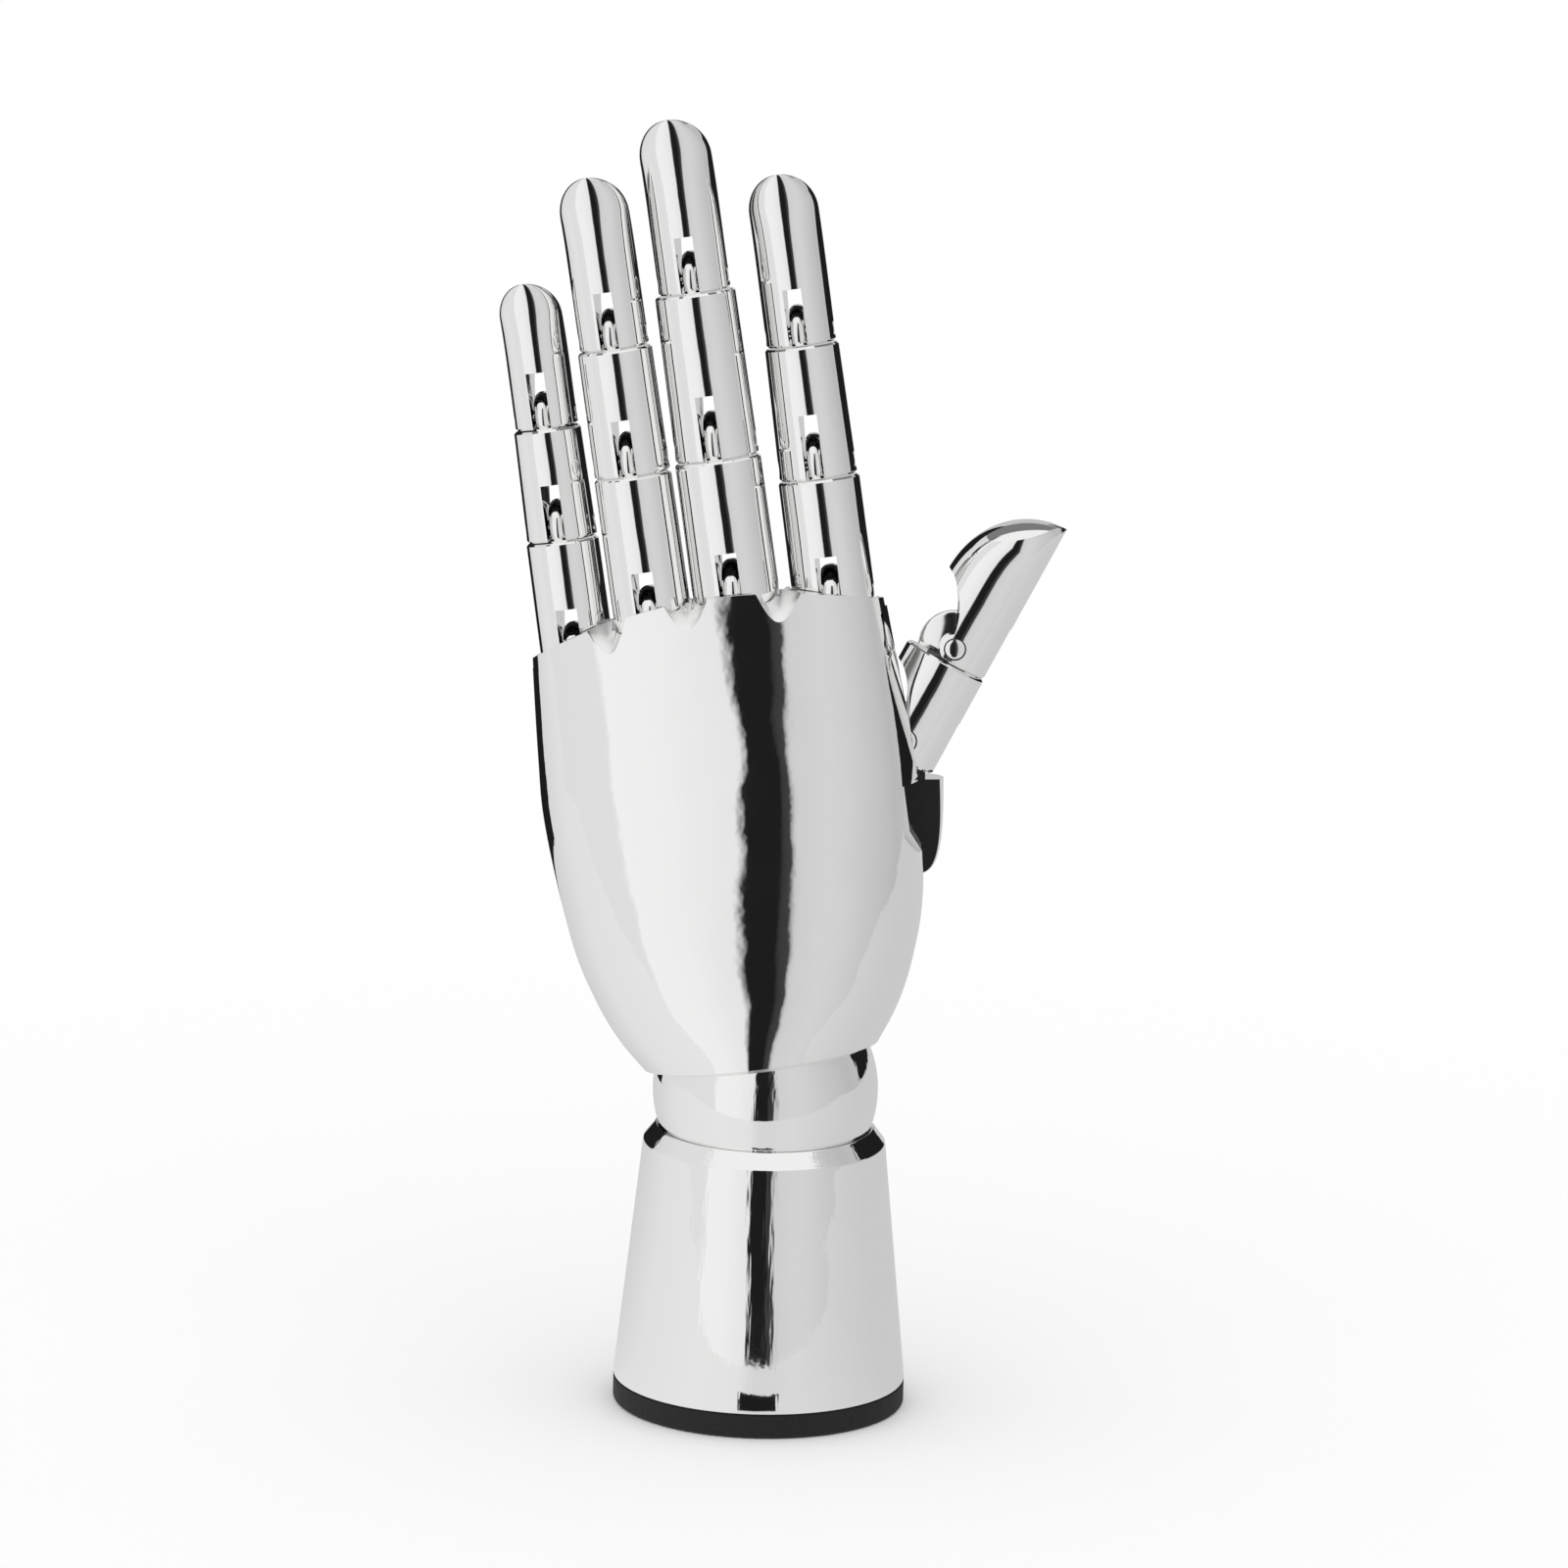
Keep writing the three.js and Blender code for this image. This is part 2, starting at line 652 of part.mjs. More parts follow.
function palm() {
  const levels = 15;
  const rings = Array.from({ length: levels + 1 }, (_, i) => {
    const share = (i / levels) ** 1.25;
    return palmRing(palmBottom + (palmLoftTop - palmBottom) * share, 44);
  });
  let solid = solidOf(loft(rings)).intersect(underTopEdge());
  const socket = solidOf(new THREE.SphereGeometry(socketRadius, 44, 24).rotateX(Math.PI / 2));
  solid = solid.subtract(socket).subtract(barUp(palmBoreRadius, 0, palmBoreTop, 0, 0, 24));
  solid = solid.subtract(barUp(shankRadius + gap, 0, palmBoreTop + shankLength + gap));
  for (const finger of fingerList) {
    const place = fingerPlace(finger);
    for (const cutter of [knuckleSeat(finger), mortise(finger.joints[0])]) {
      solid = solid.subtract(cutter.transform(place.elements));
    }
  }
  for (const cutter of besideKnuckles()) solid = solid.subtract(cutter);
  for (let i = 0; i + 1 < fingerList.length; i++) {
    solid = solid.subtract(webNick(fingerList[i], fingerList[i + 1]));
  }
  return palmWithoutThumb(solid);
}

// Where a finger's knuckle pin stands in the hand, as a matrix
function fingerPlace(finger) {
  const place = new THREE.Matrix4();
  const turn = new THREE.Euler(
    0,
    THREE.MathUtils.degToRad(-finger.lean),
    THREE.MathUtils.degToRad(-finger.turn),
    "ZYX",
  );
  place.makeRotationFromEuler(turn);
  return place.setPosition(finger.across, finger.deep, finger.seam + finger.joints[0].pinHeight);
}

// A joint's tongue and pin, which lie about the joint's own pin
function addJoint(group, name, joint, width) {
  group.add(named(name + "_tongue", tongue(joint), steel));
  group.add(named(name + "_pin", barAcross(pinRadius, width - 2 * pinRecess), steel));
}

function fingerGroup(name, finger) {
  const { joints, lengths, widths, depths } = finger;
  const knuckle = new THREE.Group();
  knuckle.applyMatrix4(fingerPlace(finger));
  addJoint(knuckle, name + "_knuckle", joints[0], widths[0]);
  const piece = (i) => {
    const ends = [widths, depths].map((sizes) => sizes.slice(2 * i, 2 * i + 2));
    return straightPiece(joints[i], joints[i + 1], lengths[i], ...ends);
  };
  knuckle.add(named(name + "_proximal", piece(0), silver));
  const middle = new THREE.Group();
  middle.position.z = lengths[0];
  addJoint(middle, name + "_middle_joint", joints[1], widths[2]);
  middle.add(named(name + "_middle", piece(1), silver));
  const end = new THREE.Group();
  end.position.z = lengths[1];
  addJoint(end, name + "_end_joint", joints[2], widths[4]);
  end.add(named(name + "_tip", endPiece(joints[2], lengths[2], widths[4], depths[4]), silver));
  middle.add(end);
  knuckle.add(middle);
  return knuckle;
}

// The thumb: the plug and everything that turns with it, about the plug's upright line
function thumbGroup() {
  const { lengths, widths, depths, windows } = thumb;
  const low = { ...jointOf(depths[0], jointTongue, windows[0]), pinHeight: thumbPieceDrop };
  const high = jointOf(depths[2], jointTongue, windows[1]);
  const standing = { ...low, pinHeight: thumbPinHeight };
  const root = new THREE.Group();
  root.applyMatrix4(plugPlace(thumbTurn));
  const pivot = barUp(pivotRadius, -rootHeight - pivotInPalm, pivotInRoot - rootHeight);
  root.add(named("thumb_pivot", pivot, steel));
  root.add(named("thumb_root", thumbRoot(standing), silver));
  const upright = new THREE.Group();
  upright.position.z = thumbPinHeight;
  upright.rotation.z = Math.PI / 2;
  upright.add(named("thumb_root_tongue", tongue(standing), steel));
  root.add(upright);
  const lower = new THREE.Group();
  lower.rotation.x = THREE.MathUtils.degToRad(thumbOpening - rootTilt);
  lower.add(named("thumb_root_pin", barAcross(pinRadius, widths[0] - 2 * pinRecess), steel));
  const piece = straightPiece(low, high, lengths[0], widths.slice(0, 2), depths.slice(0, 2));
  lower.add(named("thumb_proximal", piece, silver));
  upright.add(lower);
  const end = new THREE.Group();
  end.position.z = lengths[0];
  addJoint(end, "thumb_joint", high, widths[2]);
  end.add(named("thumb_tip", endPiece(high, lengths[1], widths[2], depths[2]), silver));
  lower.add(end);
  return root;
}

// A hook's ring about a bar along X, from its open end round to the side that its leg leaves from
function hookPoints(height, barRadius, side) {
  const radius = barRadius + 2 * gap + wireRadius;
  const steps = 7;
  return Array.from({ length: steps + 1 }, (_, i) => {
    const angle = THREE.MathUtils.degToRad(225 - (225 * i) / steps);
    return new THREE.Vector3(0, radius * Math.cos(angle), height + side * radius * Math.sin(angle));
  });
}

// The spring about the ball's centre: upright below it, and along the hand above it
function wristSpring(handTurn) {
  const stepsPerTurn = 8;
  const coil = Array.from({ length: coilTurns * stepsPerTurn + 1 }, (_, i) => {
    const angle = (2 * Math.PI * i) / stepsPerTurn;
    const height = coilBottom + ((coilTop - coilBottom) * i) / (coilTurns * stepsPerTurn);
    return new THREE.Vector3(coilRadius * Math.sin(angle), coilRadius * Math.cos(angle), height);
  });
  const lower = hookPoints(springPinHeight - ballHeight, springPinRadius, -1);
  const upper = hookPoints(eyeHeight - eyeRadius, eyeWire, 1).reverse();
  const points = [...lower, ...coil, ...upper];
  for (const point of points) {
    const bent = THREE.MathUtils.smoothstep(point.z, -coilTop, coilTop);
    point.applyQuaternion(new THREE.Quaternion().slerp(handTurn, bent));
  }
  const extrudePath = new THREE.CatmullRomCurve3(points);
  extrudePath.arcLengthDivisions = points.length * 8;
  const wire = new THREE.Shape().absarc(0, 0, wireRadius, 0, 2 * Math.PI);
  const options = { extrudePath, steps: points.length, bevelEnabled: false, curveSegments: 6 };
  return solidOf(new THREE.ExtrudeGeometry(wire, options));
}

// The eye hangs under the bore's end, with its wire across the spring's upper hook
function springEye() {
  const torus = new THREE.TorusGeometry(eyeRadius, eyeWire, 8, 16).rotateX(Math.PI / 2);
  const ring = solidOf(torus.translate(0, 0, eyeHeight));
  const start = eyeHeight + eyeRadius;
  return ring.add(barUp(shankRadius, start, palmBoreTop + shankLength));
}

const part = new THREE.Group();
part.add(named("base_pad", basePad(), blackPad));
part.add(named("wrist_base", wristBase(), silver));
const ball = named("wrist_ball", wristBall(), silver);
ball.position.z = ballHeight;
part.add(ball);

const hand = new THREE.Group();
hand.position.z = ballHeight;
hand.rotation.set(
  THREE.MathUtils.degToRad(-leanToPalmSide),
  THREE.MathUtils.degToRad(-leanToLittleFinger),
  THREE.MathUtils.degToRad(-turnOnWrist),
  "XYZ",
);
part.add(hand);
hand.add(named("palm", palm(), silver));
for (const [name, finger] of Object.entries(fingers)) hand.add(fingerGroup(name, finger));
hand.add(thumbGroup());
hand.add(named("palm_spring_eye", springEye(), steel));
const springPin = named("base_spring_pin", barAcross(springPinRadius, springPinLength), steel);
springPin.position.z = springPinHeight;
part.add(springPin);
const spring = named("wrist_spring", wristSpring(hand.quaternion), steel);
spring.position.z = ballHeight;
part.add(spring);

export default part;
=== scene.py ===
# A jointed display hand, plated to a mirror finish, on a round tapered base.
# Pieces are shaped in millimetres in frames of their own and placed in metres.
import math

import bmesh
import bpy
from mathutils import Matrix, Vector
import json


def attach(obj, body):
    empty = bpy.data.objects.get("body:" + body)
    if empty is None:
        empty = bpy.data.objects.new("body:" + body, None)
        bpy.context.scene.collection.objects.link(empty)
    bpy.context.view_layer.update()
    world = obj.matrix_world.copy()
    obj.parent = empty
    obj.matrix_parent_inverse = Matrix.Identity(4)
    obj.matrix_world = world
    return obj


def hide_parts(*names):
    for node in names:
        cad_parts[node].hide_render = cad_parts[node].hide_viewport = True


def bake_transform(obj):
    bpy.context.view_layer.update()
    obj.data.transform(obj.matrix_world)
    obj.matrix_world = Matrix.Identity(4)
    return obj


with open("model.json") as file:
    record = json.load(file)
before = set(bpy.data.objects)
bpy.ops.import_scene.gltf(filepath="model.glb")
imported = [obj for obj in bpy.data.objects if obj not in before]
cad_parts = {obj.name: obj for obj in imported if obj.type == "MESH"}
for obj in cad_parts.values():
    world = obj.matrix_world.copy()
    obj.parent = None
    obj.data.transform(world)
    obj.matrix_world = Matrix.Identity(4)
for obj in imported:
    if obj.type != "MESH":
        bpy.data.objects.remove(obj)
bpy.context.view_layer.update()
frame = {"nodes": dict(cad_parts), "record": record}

# The camera stands where the photograph was taken from: a long lens about 3 m away,
# 16 degrees above the table, with the picture turned by a little over a degree.
camera_data = bpy.data.cameras.new("camera")
camera_data.sensor_width = 36
camera_data.lens = 293.82
camera_data.clip_end = 50
camera = bpy.data.objects.new("camera", camera_data)
bpy.context.scene.collection.objects.link(camera)
bpy.context.scene.camera = camera
camera.location = (0, -2.8765, 0.8533)
look_down = math.radians(13.775)
picture_roll = math.radians(1.4)
look_aside = math.radians(0.0517)
camera.rotation_euler = (
    Matrix.Rotation(-look_aside, 3, "Z")
    @ Matrix.Rotation(math.pi / 2 - look_down, 3, "X")
    @ Matrix.Rotation(picture_roll, 3, "Z")
).to_euler()

# The wrist base is a turned taper, plated like the hand, with a sloping rim round the ball's
# socket. A round black rubber pad is glued under it.
PAD_COLOUR = (0.007, 0.007, 0.0075, 1)
PLATING_COLOUR = (0.95, 0.95, 0.945, 1)
PAD_HEIGHT = 5.6
PAD_EDGE = 1
BASE_RADIUS = 34
BASE_TOP_RADIUS = 28.2
BASE_HEIGHT = 62.9
BASE_EDGE = 0.8
SIDE_LEAN = 6
SHOULDER_EDGE = 0.6
RIM_RISE = 3.6
RIM_EDGE = 0.45
RIM_EDGE_PAST_LIP = 0.35
SOCKET_UNDER_LIP = 3
BALL_RADIUS = 26.2
BALL_ABOVE_RIM = 8.8
SOCKET_GAP = 0.1
BALL_HEIGHT = BASE_HEIGHT + RIM_RISE + BALL_ABOVE_RIM


class Wire:
    """An output of a shader node. Arithmetic on wires adds Math nodes."""

    def __init__(self, tree, socket=None):
        self.tree = tree
        self.socket = socket

    def node(self, kind, settings=None, inputs=None, output=0):
        made = self.tree.nodes.new(kind)
        for key, value in (settings or {}).items():
            if key == "stops":
                ramp = made.color_ramp
                while len(ramp.elements) < len(value):
                    ramp.elements.new(0.5)
                for element, (position, colour) in zip(ramp.elements, value):
                    element.position = position
                    element.color = colour
            else:
                setattr(made, key, value)
        for key, value in (inputs or {}).items():
            if isinstance(value, Wire):
                self.tree.links.new(value.socket, made.inputs[key])
            else:
                made.inputs[key].default_value = value
        return Wire(self.tree, made.outputs[output])

    def math(self, operation, *values):
        return self.node("ShaderNodeMath", {"operation": operation}, dict(enumerate(values)))

    def __add__(self, other):
        return self.math("ADD", self, other)

    def __sub__(self, other):
        return self.math("SUBTRACT", self, other)

    def __rsub__(self, other):
        return self.math("SUBTRACT", other, self)

    def __mul__(self, other):
        return self.math("MULTIPLY", self, other)

    __radd__ = __add__
    __rmul__ = __mul__

    def step(self, start, end):
        """Rises smoothly from 0 at start to 1 at end."""
        settings = {"interpolation_type": "SMOOTHSTEP"}
        names = {"Value": self, "From Min": start, "From Max": end, "To Min": 0.0, "To Max": 1.0}
        return self.node("ShaderNodeMapRange", settings, names)


def surface(name, colour, roughness, metallic=0.0):
    """A material with one shader, and the wires to build its pattern from."""
    material = bpy.data.materials.new(name)
    material.use_nodes = True
    tree = material.node_tree
    shader = tree.nodes["Principled BSDF"]
    shader.inputs["Base Color"].default_value = colour
    shader.inputs["Roughness"].default_value = roughness
    shader.inputs["Metallic"].default_value = metallic
    return material, tree, shader, Wire(tree)


def rubber_pad():
    material, tree, shader, start = surface("rubber pad", PAD_COLOUR, 0.75)
    place = start.node("ShaderNodeTexCoord", output="Object")
    grain = start.node("ShaderNodeTexNoise", {}, {"Vector": place, "Scale": 900.0, "Detail": 3.0})
    bump = start.node("ShaderNodeBump", {}, {"Height": grain, "Strength": 0.25, "Distance": 0.0003})
    tree.links.new(bump.socket, shader.inputs["Normal"])
    tree.links.new((grain * 0.2 + 0.65).socket, shader.inputs["Roughness"])
    return material


RIPPLE_SHARE = 0.03
RIPPLES_IN_WAVE = 6
STREAK_SCALE = (200, 200, 8)


def plated(name, wave_size, wave_height, roughness=0.035, streaks=0.0):
    """Bright plating: a mirror with the slight unevenness of the polished body under it.

    Waves are in millimetres. Streaks are faint upright polishing marks.
    """
    material, tree, shader, start = surface(name, PLATING_COLOUR, roughness, 1.0)
    place = start.node("ShaderNodeTexCoord", output="Object")
    scale = 1000 / wave_size
    inputs = {"Vector": place, "Scale": scale, "Detail": 1.5, "Roughness": 0.4}
    waves = start.node("ShaderNodeTexNoise", {}, inputs)
    inputs = {"Vector": place, "Scale": RIPPLES_IN_WAVE * scale, "Detail": 2.0}
    ripples = start.node("ShaderNodeTexNoise", {}, inputs)
    height = waves + ripples * RIPPLE_SHARE
    if streaks:
        inputs = {0: place, 1: STREAK_SCALE}
        drawn = start.node("ShaderNodeVectorMath", {"operation": "MULTIPLY"}, inputs)
        marks = start.node("ShaderNodeTexNoise", {}, {"Vector": drawn, "Detail": 1.5})
        height = height + marks * streaks
    inputs = {"Height": height, "Strength": 1.0, "Distance": wave_height / 1000}
    bump = start.node("ShaderNodeBump", {}, inputs)
    tree.links.new(bump.socket, shader.inputs["Normal"])
    haze = start.node("ShaderNodeTexNoise", {}, {"Vector": place, "Scale": 60.0, "Detail": 4.0})
    tree.links.new((haze.step(0.4, 0.75) * 0.03 + roughness).socket, shader.inputs["Roughness"])
    return material


def spun(profile, steps=160):
    """A solid of revolution about Z from (radius, height) pairs that start and end on the axis."""
    bm = bmesh.new()
    points = [bm.verts.new((radius, 0, height)) for radius, height in profile]
    edges = [bm.edges.new(pair) for pair in zip(points, points[1:])]
    whole = {"cent": (0, 0, 0), "axis": (0, 0, 1), "angle": 2 * math.pi, "steps": steps}
    bmesh.ops.spin(bm, geom=points + edges, use_merge=True, **whole)
    bmesh.ops.remove_doubles(bm, verts=bm.verts, dist=1e-4)
    bmesh.ops.recalc_face_normals(bm, faces=bm.faces)
    return bm


def arc(centre, radius, start, end, steps=8):
    """Points of an arc in the profile's plane, with angles in degrees from the outward line."""
    angles = [math.radians(start + (end - start) * i / steps) for i in range(steps + 1)]
    return [(centre[0] + radius * math.cos(a), centre[1] + radius * math.sin(a)) for a in angles]


def finished(name, bm, place, material, body, node, sharp=35):
    """Turns a shape in millimetres into a placed piece that stands for its CAD node."""
    mesh = bpy.data.meshes.new(name)
    bm.to_mesh(mesh)
    bm.free()
    mesh.shade_smooth()
    mesh.set_sharp_from_angle(angle=math.radians(sharp))
    return dressed(name, mesh, place, material, body, node)


def dressed(name, mesh, place, materials, body, node):
    """Places a mesh in metres, with a finish for its skin and its cut faces, and painted shade for its
    slots' ends.

    The body is one name, which the piece is attached to, or two names with two points, and then the piece
    is only baked in place and attached to nothing.
    """
    mesh.transform(Matrix.Scale(0.001, 4) @ place)
    materials = materials if isinstance(materials, list) else [materials]
    while len(mesh.materials) < len(materials):
        mesh.materials.append(None)
    for i in range(len(mesh.materials)):
        mesh.materials[i] = materials[min(i, len(materials) - 1)]
    made = bpy.data.objects.new(name, mesh)
    bpy.context.scene.collection.objects.link(made)
    if isinstance(body, tuple):
        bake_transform(made)
    else:
        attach(made, body)
    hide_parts(node)
    next(s["material_slot"] for s in frame["record"]["subparts"] if s["node"] == node)
    return made


def steadied(start, end):
    """Two more points near the ends of a straight line, so that its shading stays straight."""
    return [tuple(a + (b - a) * share for a, b in zip(start, end)) for share in (0.015, 0.985)]


pad_profile = [(0, 0), (BASE_RADIUS - PAD_EDGE, 0)]
pad_profile += arc((BASE_RADIUS - PAD_EDGE, PAD_EDGE), PAD_EDGE, -90, 0)[1:]
pad_profile += [(BASE_RADIUS, PAD_HEIGHT), (0, PAD_HEIGHT)]
finished("pad_under_base", spun(pad_profile), Matrix(), rubber_pad(), "base", "base_pad")

rim = BASE_HEIGHT + RIM_RISE
socket_radius = BALL_RADIUS + SOCKET_GAP
lip = math.sqrt(socket_radius**2 - BALL_ABOVE_RIM**2)
socket_end = math.degrees(math.asin(-BALL_ABOVE_RIM / socket_radius))
foot_centre = (BASE_RADIUS - BASE_EDGE, PAD_HEIGHT + BASE_EDGE)
shoulder_centre = (BASE_TOP_RADIUS - SHOULDER_EDGE, BASE_HEIGHT - SHOULDER_EDGE / 2)
base_profile = [(0, PAD_HEIGHT), (BASE_RADIUS - BASE_EDGE, PAD_HEIGHT)]
base_profile += arc(foot_centre, BASE_EDGE, -90, SIDE_LEAN)[1:]
shoulder = arc(shoulder_centre, SHOULDER_EDGE, SIDE_LEAN, 45, 5)
rim_edge = arc((lip + RIM_EDGE_PAST_LIP, rim - RIM_EDGE), RIM_EDGE, 45, 150, 6)
base_profile += steadied(base_profile[-1], shoulder[0]) + shoulder
base_profile += steadied(shoulder[-1], rim_edge[0]) + rim_edge
base_profile += arc((0, BALL_HEIGHT), socket_radius, socket_end - SOCKET_UNDER_LIP, -90, 16)
base_chrome = plated("plated base", 24, 0.45, streaks=0.08)
finished("tapered_base", spun(base_profile), Matrix(), base_chrome, "base", "wrist_base", 25)

# The wrist ball is a plated ball that sits in the base's socket and in a hollow of the palm.
# A spring through its bore pulls the three together.
ball_profile = arc((0, 0), BALL_RADIUS, -90, 90, 64)
ball_place = Matrix.Translation((0, 0, BALL_HEIGHT))
finished("wrist_ball_plated", spun(ball_profile), ball_place, base_chrome, "ball", "wrist_ball", 60)

# The palm is one plated body: round at the wrist, wide and flatter at the knuckles. Its top edge
# is arched, with a rounded nick between fingers, and its thumb side is hollowed for the thumb.
LEAN_TO_PALM_SIDE = 7.5
LEAN_TO_LITTLE_FINGER = 8.5
TURN_ON_WRIST = 7
HAND = (
    Matrix.Translation((0, 0, BALL_HEIGHT))
    @ Matrix.Rotation(math.radians(-LEAN_TO_PALM_SIDE), 4, "X")
    @ Matrix.Rotation(math.radians(-LEAN_TO_LITTLE_FINGER), 4, "Y")
    @ Matrix.Rotation(math.radians(-TURN_ON_WRIST), 4, "Z")
)
PALM_BOTTOM = 7.8
FOOT_RADIUS = 27.4
PALM_HALF_WIDTH = 44
PALM_TOP = 116.5
PALM_TOP_ARC = 112
PALM_TOP_MIDDLE = 6
WIDEST_DEPTH = 5
GROWN_HEIGHT = 34
BACK_SQUARENESS = 0.3
THUMB_SIDE_SQUARENESS = 1.0
LITTLE_SIDE_SQUARENESS = 0.5
SPRING_BORE_RADIUS = 6.5
SPRING_BORE_TOP = 42
CLEARANCE = 0.3
BEYOND = 200
PALM_END = PALM_TOP + 3

# Sizes of the palm's skin at a few heights, from the foot to just over the top edge.
PALM_WIDTHS = [
    (PALM_BOTTOM, FOOT_RADIUS),
    (PALM_BOTTOM + 8, FOOT_RADIUS + 0.33 * (PALM_HALF_WIDTH - FOOT_RADIUS)),
    (PALM_BOTTOM + 18, FOOT_RADIUS + 0.6 * (PALM_HALF_WIDTH - FOOT_RADIUS)),
    (PALM_BOTTOM + 32, FOOT_RADIUS + 0.83 * (PALM_HALF_WIDTH - FOOT_RADIUS)),
    (PALM_BOTTOM + 58, PALM_HALF_WIDTH),
    (PALM_BOTTOM + 76, PALM_HALF_WIDTH - 0.4),
    (PALM_END, 41.2),
]
PALM_BACKS = [
    (PALM_BOTTOM, FOOT_RADIUS),
    (PALM_BOTTOM + 14, 27.6),
    (PALM_BOTTOM + 40, 26.8),
    (PALM_BOTTOM + 72, 22.6),
    (PALM_END, 15.6),
]
PALM_FRONTS = [
    (PALM_BOTTOM, FOOT_RADIUS),
    (PALM_BOTTOM + 14, 27.2),
    (PALM_BOTTOM + 36, 26),
    (PALM_BOTTOM + 72, 18),
    (PALM_BOTTOM + 96, 10.1),
    (PALM_END, 9.5),
]


def along(points, height):
    """The value at a height of a smooth curve through (height, value) points."""
    last = len(points) - 1
    low, high = 0.0, float(last)
    for _ in range(26):
        middle = (low + high) / 2
        if curve_point(points, middle)[0] < height:
            low = middle
        else:
            high = middle
    return curve_point(points, (low + high) / 2)[1]


def curve_point(points, share):
    """A point of the smooth curve, where the share counts the given points."""
    last = len(points) - 1
    i = min(int(share), last - 1)
    t = share - i
    p0, p1, p2, p3 = (points[max(0, min(last, k))] for k in (i - 1, i, i + 1, i + 2))
    made = []
    for a, b, c, d in zip(p0, p1, p2, p3):
        v0, v1 = (c - a) / 2, (d - b) / 2
        made.append((2 * b - 2 * c + v0 + v1) * t**3 + (-3 * b + 3 * c - 2 * v0 - v1) * t**2 + v0 * t + b)
    return made


palm_sizes = {}


def palm_size(height):
    """Half width, depth to the back, depth to the front and the widest line's depth, at a height."""
    steps = 240
    if not palm_sizes:
        for i in range(steps + 1):
            z = PALM_BOTTOM + (PALM_END - PALM_BOTTOM) * i / steps
            grown = min(1, (z - PALM_BOTTOM) / GROWN_HEIGHT)
            widest = WIDEST_DEPTH * grown
            back = along(PALM_BACKS, z) + widest
            front = along(PALM_FRONTS, z) - widest
            palm_sizes[i] = (along(PALM_WIDTHS, z), back, front, widest, grown)
    place = (height - PALM_BOTTOM) / (PALM_END - PALM_BOTTOM) * steps
    i = max(0, min(steps - 1, int(place)))
    return [low + (high - low) * (place - i) for low, high in zip(palm_sizes[i], palm_sizes[i + 1])]


def palm_power(x, y, grown):
    """2 makes a round section; more makes it squarer."""
    if y < 0:
        return 2 + BACK_SQUARENESS * grown
    return 2 + (THUMB_SIDE_SQUARENESS if x > 0 else LITTLE_SIDE_SQUARENESS) * grown


def palm_point(turn, height):
    width, back, front, widest, grown = palm_size(height)
    c, s = math.cos(turn), math.sin(turn)
    power = palm_power(c, s, grown)
    x = width * math.copysign(abs(c) ** (2 / power), c)
    y = (back if s < 0 else front) * math.copysign(abs(s) ** (2 / power), s)
    return Vector((x, y + widest, height))


def palm_level(p):
    """Grows outwards from the palm's skin, where it is 1."""
    width, back, front, widest, grown = palm_size(p[2])
    y = p[1] - widest
    power = palm_power(p[0], y, grown)
    return (abs(p[0]) / width) ** power + (abs(y) / (back if y < 0 else front)) ** power


def outward(level, p, reach):
    """The direction in which a level grows fastest at a point."""
    slope = []
    for i in range(3):
        shift = [0, 0, 0]
        shift[i] = reach
        ahead = [a + b for a, b in zip(p, shift)]
        behind = [a - b for a, b in zip(p, shift)]
        slope.append(level(ahead) - level(behind))
    return Vector(slope).normalized()


def palm_back_at(across, height):
    """The depth of the palm's skin on the back of the hand, where it is fully grown."""
    width, back, front, widest, grown = palm_size(height)
    power = 2 + BACK_SQUARENESS
    return WIDEST_DEPTH - back * (1 - (abs(across) / width) ** power) ** (1 / power)


def top_edge_at(across):
    """The height of the palm's arched top edge."""
    return PALM_TOP - PALM_TOP_ARC + math.sqrt(PALM_TOP_ARC**2 - (across - PALM_TOP_MIDDLE) ** 2)


def lofted(rings, sides):
    """A closed skin over rings; each ring is a function from a turn to a point. Ends are flat."""
    bm = bmesh.new()
    loops = []
    for ring in rings:
        made = bmesh.ops.create_circle(bm, segments=sides, radius=1, cap_ends=False)["verts"]
        for i, vert in enumerate(made):
            vert.co = ring(2 * math.pi * i / sides)
        edges = list({e for v in made for e in v.link_edges})
        loops.append(edges)
    for lower, upper in zip(loops, loops[1:]):
        bmesh.ops.bridge_loops(bm, edges=lower + upper)
    for end in (loops[0], loops[-1]):
        cap = bmesh.ops.contextual_create(bm, geom=end)["faces"]
        for face in cap:
            face.material_index = 1
    bmesh.ops.recalc_face_normals(bm, faces=bm.faces)
    return bm


def prism(outline, plane, low, high):
    """An outline pushed through along the axis that its plane leaves out."""
    bm = bmesh.new()
    corners = {"yz": lambda a, b: (low, a, b), "xz": lambda a, b: (a, low, b)}[plane]
    push = {"yz": (high - low, 0, 0), "xz": (0, high - low, 0)}[plane]
    face = bm.faces.new([bm.verts.new(corners(a, b)) for a, b in outline])
    made = bmesh.ops.extrude_face_region(bm, geom=[face])["geom"]
    bmesh.ops.translate(bm, vec=push, verts=[v for v in made if isinstance(v, bmesh.types.BMVert)])
    bmesh.ops.recalc_face_normals(bm, faces=bm.faces)
    return bm


def box(low, high):
    outline = [(low[0], low[2]), (high[0], low[2]), (high[0], high[2]), (low[0], high[2])]
    return prism(outline, "xz", low[1], high[1])


def rod(radius, low, high, sides=48):
    return spun([(0, low), (radius, low), (radius, high), (0, high)], sides)


